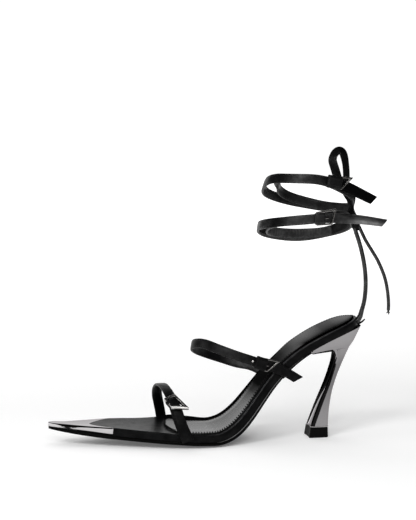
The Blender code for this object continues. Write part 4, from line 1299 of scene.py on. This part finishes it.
# Knot: the bow's ribbon gathered where the back tie holds the upper strap
knot = {"columns": "along across height wide deep", "rows": [
    (123.6, -11.6, 199.0, 4.4, 1.5), (125.4, -10.0, 194.6, 4.6, 1.6), (127.6, -8.2, 190.0, 4.1, 1.7),
    (129.4, -6.0, 185.4, 2.9, 1.8), (130.3, -4.4, 181.4, 1.9, 1.9), (130.2, -4.0, 178.6, 2.4, 2.0),
    (130.0, -3.6, 175.0, 3.9, 2.1), (131.6, -2.6, 171.0, 4.1, 2.0), (133.6, -1.0, 167.0, 3.8, 1.7),
    (135.4, 0.0, 162.4, 1.9, 1.5)], "folds": 5, "relief": 0.2, "twist": 1.6, "turns": 3, "points": 40,
    "steps": 5, "glossAndPaintedLight": 0.1}


def makeKnot():
    rows = rowsOf(knot)
    centres = routeThrough(zip(rows["along"], rows["across"], rows["height"]), knot["steps"])
    sizes = routeThrough([(wide, deep, 0) for wide, deep in zip(rows["wide"], rows["deep"])], knot["steps"])
    rings = []
    for number, (spot, size) in enumerate(zip(centres, sizes)):
        part = number / (len(centres) - 1)
        twist = knot["twist"] * math.sin(knot["turns"] * part * math.pi)
        ring = []
        for k in range(knot["points"]):
            turn = 2 * math.pi * k / knot["points"]
            swell = 1 + knot["relief"] * math.cos(knot["folds"] * turn + twist)
            ring.append(spot + Vector((size.x * math.cos(turn), size.y * math.sin(turn), 0)) * swell)
        rings.append(ring)
    shape = skinOver(rings, glossAndPaintedLight=[[knot["glossAndPaintedLight"]] * knot["points"]] * len(rings))
    addPiece("bowKnot", shape, strapCalf, sharp=60)


makeKnot()


# Floor, backdrop and soft studio light, in metres
studio = {"front": -1.6, "back": 3.2, "wide": 3.0, "paper": "#f4f4f4", "paperFront": "#d8d8d8",
          "fade": (-0.5, -0.26), "floorGlow": [(0.15, 0.14), (1.5, 1.0)],
          "wall": 3.6, "wallWide": 2.2, "wallSunk": 0.01, "wallGlow": 1.05,
          "strip": {"middle": -1.9, "wide": 0.3, "ahead": 0.02, "glow": 2.4}, "world": (0.04, 0.8),
          "lights": [
              ("topBox", (0.1, 0.12, 1.5), (0.03, 0.05, 0.0), 2.2, 13.0, False),
              ("keyBox", (-0.9, -1.1, 1.1), (-0.05, -0.05, 0.05), 0.6, 13.5, False),
              ("leftBox", (-1.6, -0.1, 0.5), (0.0, 0.0, 0.05), 0.5, 3.0, True),
              ("frontBox", (-0.3, -2.2, 1.3), (0.05, 0.0, 0.1), 1.0, 26.0, True)]}
white, black = linear("#ffffff"), linear("#000000")


def stageSheet(name, low, high, wide, material, middle=0.0):
    # a flat sheet between two level edges, each given as (y, z)
    shape = bmesh.new()
    bmesh.ops.create_grid(shape, x_segments=1, y_segments=1, size=0.5)
    for vert in shape.verts:
        part = vert.co.y + 0.5
        y, z = [a + (b - a) * part for a, b in zip(low, high)]
        vert.co = (middle + vert.co.x * 2 * wide, y, z)
    mesh = bpy.data.meshes.new(name)
    shape.to_mesh(mesh)
    shape.free()
    mesh.materials.append(material)
    sheet = bpy.data.objects.new(name, mesh)
    scene.collection.objects.link(sheet)


def makePaper():
    # matt white paper, greyer in front of the frame as painted shade where light falls off, glowing a little
    # and more towards the backdrop behind, as painted light
    material, tree, shader = newMaterial("whitePaper")
    spot = addNode(tree, "SeparateXYZ", {"Vector": addNode(tree, "TexCoord").outputs["Object"]})
    away = spot.outputs["Y"]
    start, full = studio["fade"]
    fade = addNode(tree, "MapRange", {"Value": away, "From Min": start, "From Max": full},
                   interpolation_type="SMOOTHSTEP")
    tone = addNode(tree, "ValToRGB", {"Fac": fade})
    tone.color_ramp.elements[0].color = linear(studio["paperFront"])
    tone.color_ramp.elements[1].color = linear(studio["paper"])
    (near, dim), (far, light) = studio["floorGlow"]
    glow = addNode(tree, "MapRange", {"Value": away, "From Min": near, "From Max": far, "To Min": dim,
                                      "To Max": light})
    setInputs(tree, shader, {"Base Color": tone, "Roughness": 0.9, "Specular IOR Level": 0.0,
                             "Emission Color": tone, "Emission Strength": glow})
    return material


def makeGlow(name, strength):
    # a lit white sheet that shows nothing but its own light
    material, tree, shader = newMaterial(name)
    setInputs(tree, shader, {"Base Color": black, "Specular IOR Level": 0.0, "Emission Color": white,
                             "Emission Strength": strength})
    return material


def makeSheets():
    back, wall = studio["back"], studio["wall"]
    stageSheet("floor", (studio["front"], 0.0), (back, 0.0), studio["wide"], makePaper())
    lit = makeGlow("litBackdrop", studio["wallGlow"])
    stageSheet("backdrop", (back, -studio["wallSunk"]), (back, wall), studio["wallWide"], lit)
    strip = studio["strip"]        # brighter, at the backdrop's left edge, seen only in the heel's breast
    bright = makeGlow("stripLight", strip["glow"])
    front = back - strip["ahead"]
    stageSheet("strip", (front, 0.0), (front, wall), strip["wide"], bright, strip["middle"])


def makeLight():
    world = bpy.data.worlds.new("studio")
    scene.world = world
    world.use_nodes = True
    tree = world.node_tree
    dim, shown = studio["world"]        # the room lights little, and reads as pale paper past the backdrop
    rays = addNode(tree, "LightPath")
    level = addNode(tree, "Math", {0: rays.outputs["Is Camera Ray"], 1: shown - dim, 2: dim},
                    operation="MULTIPLY_ADD")
    setInputs(tree, tree.nodes["Background"], {"Color": white, "Strength": level})
    for name, place, aim, size, power, mirrored in studio["lights"]:
        light = bpy.data.lights.new(name, "AREA")
        light.size, light.energy = size, power
        lamp = bpy.data.objects.new(name, light)
        scene.collection.objects.link(lamp)
        lamp.location = place
        lamp.visible_glossy = mirrored        # some lamps light the floor but stay out of the chrome
        lamp.rotation_euler = (Vector(aim) - Vector(place)).to_track_quat("-Z", "Y").to_euler()
    scene.view_settings.view_transform = "Standard"
    print("studio lit")


makeSheets()
makeLight()
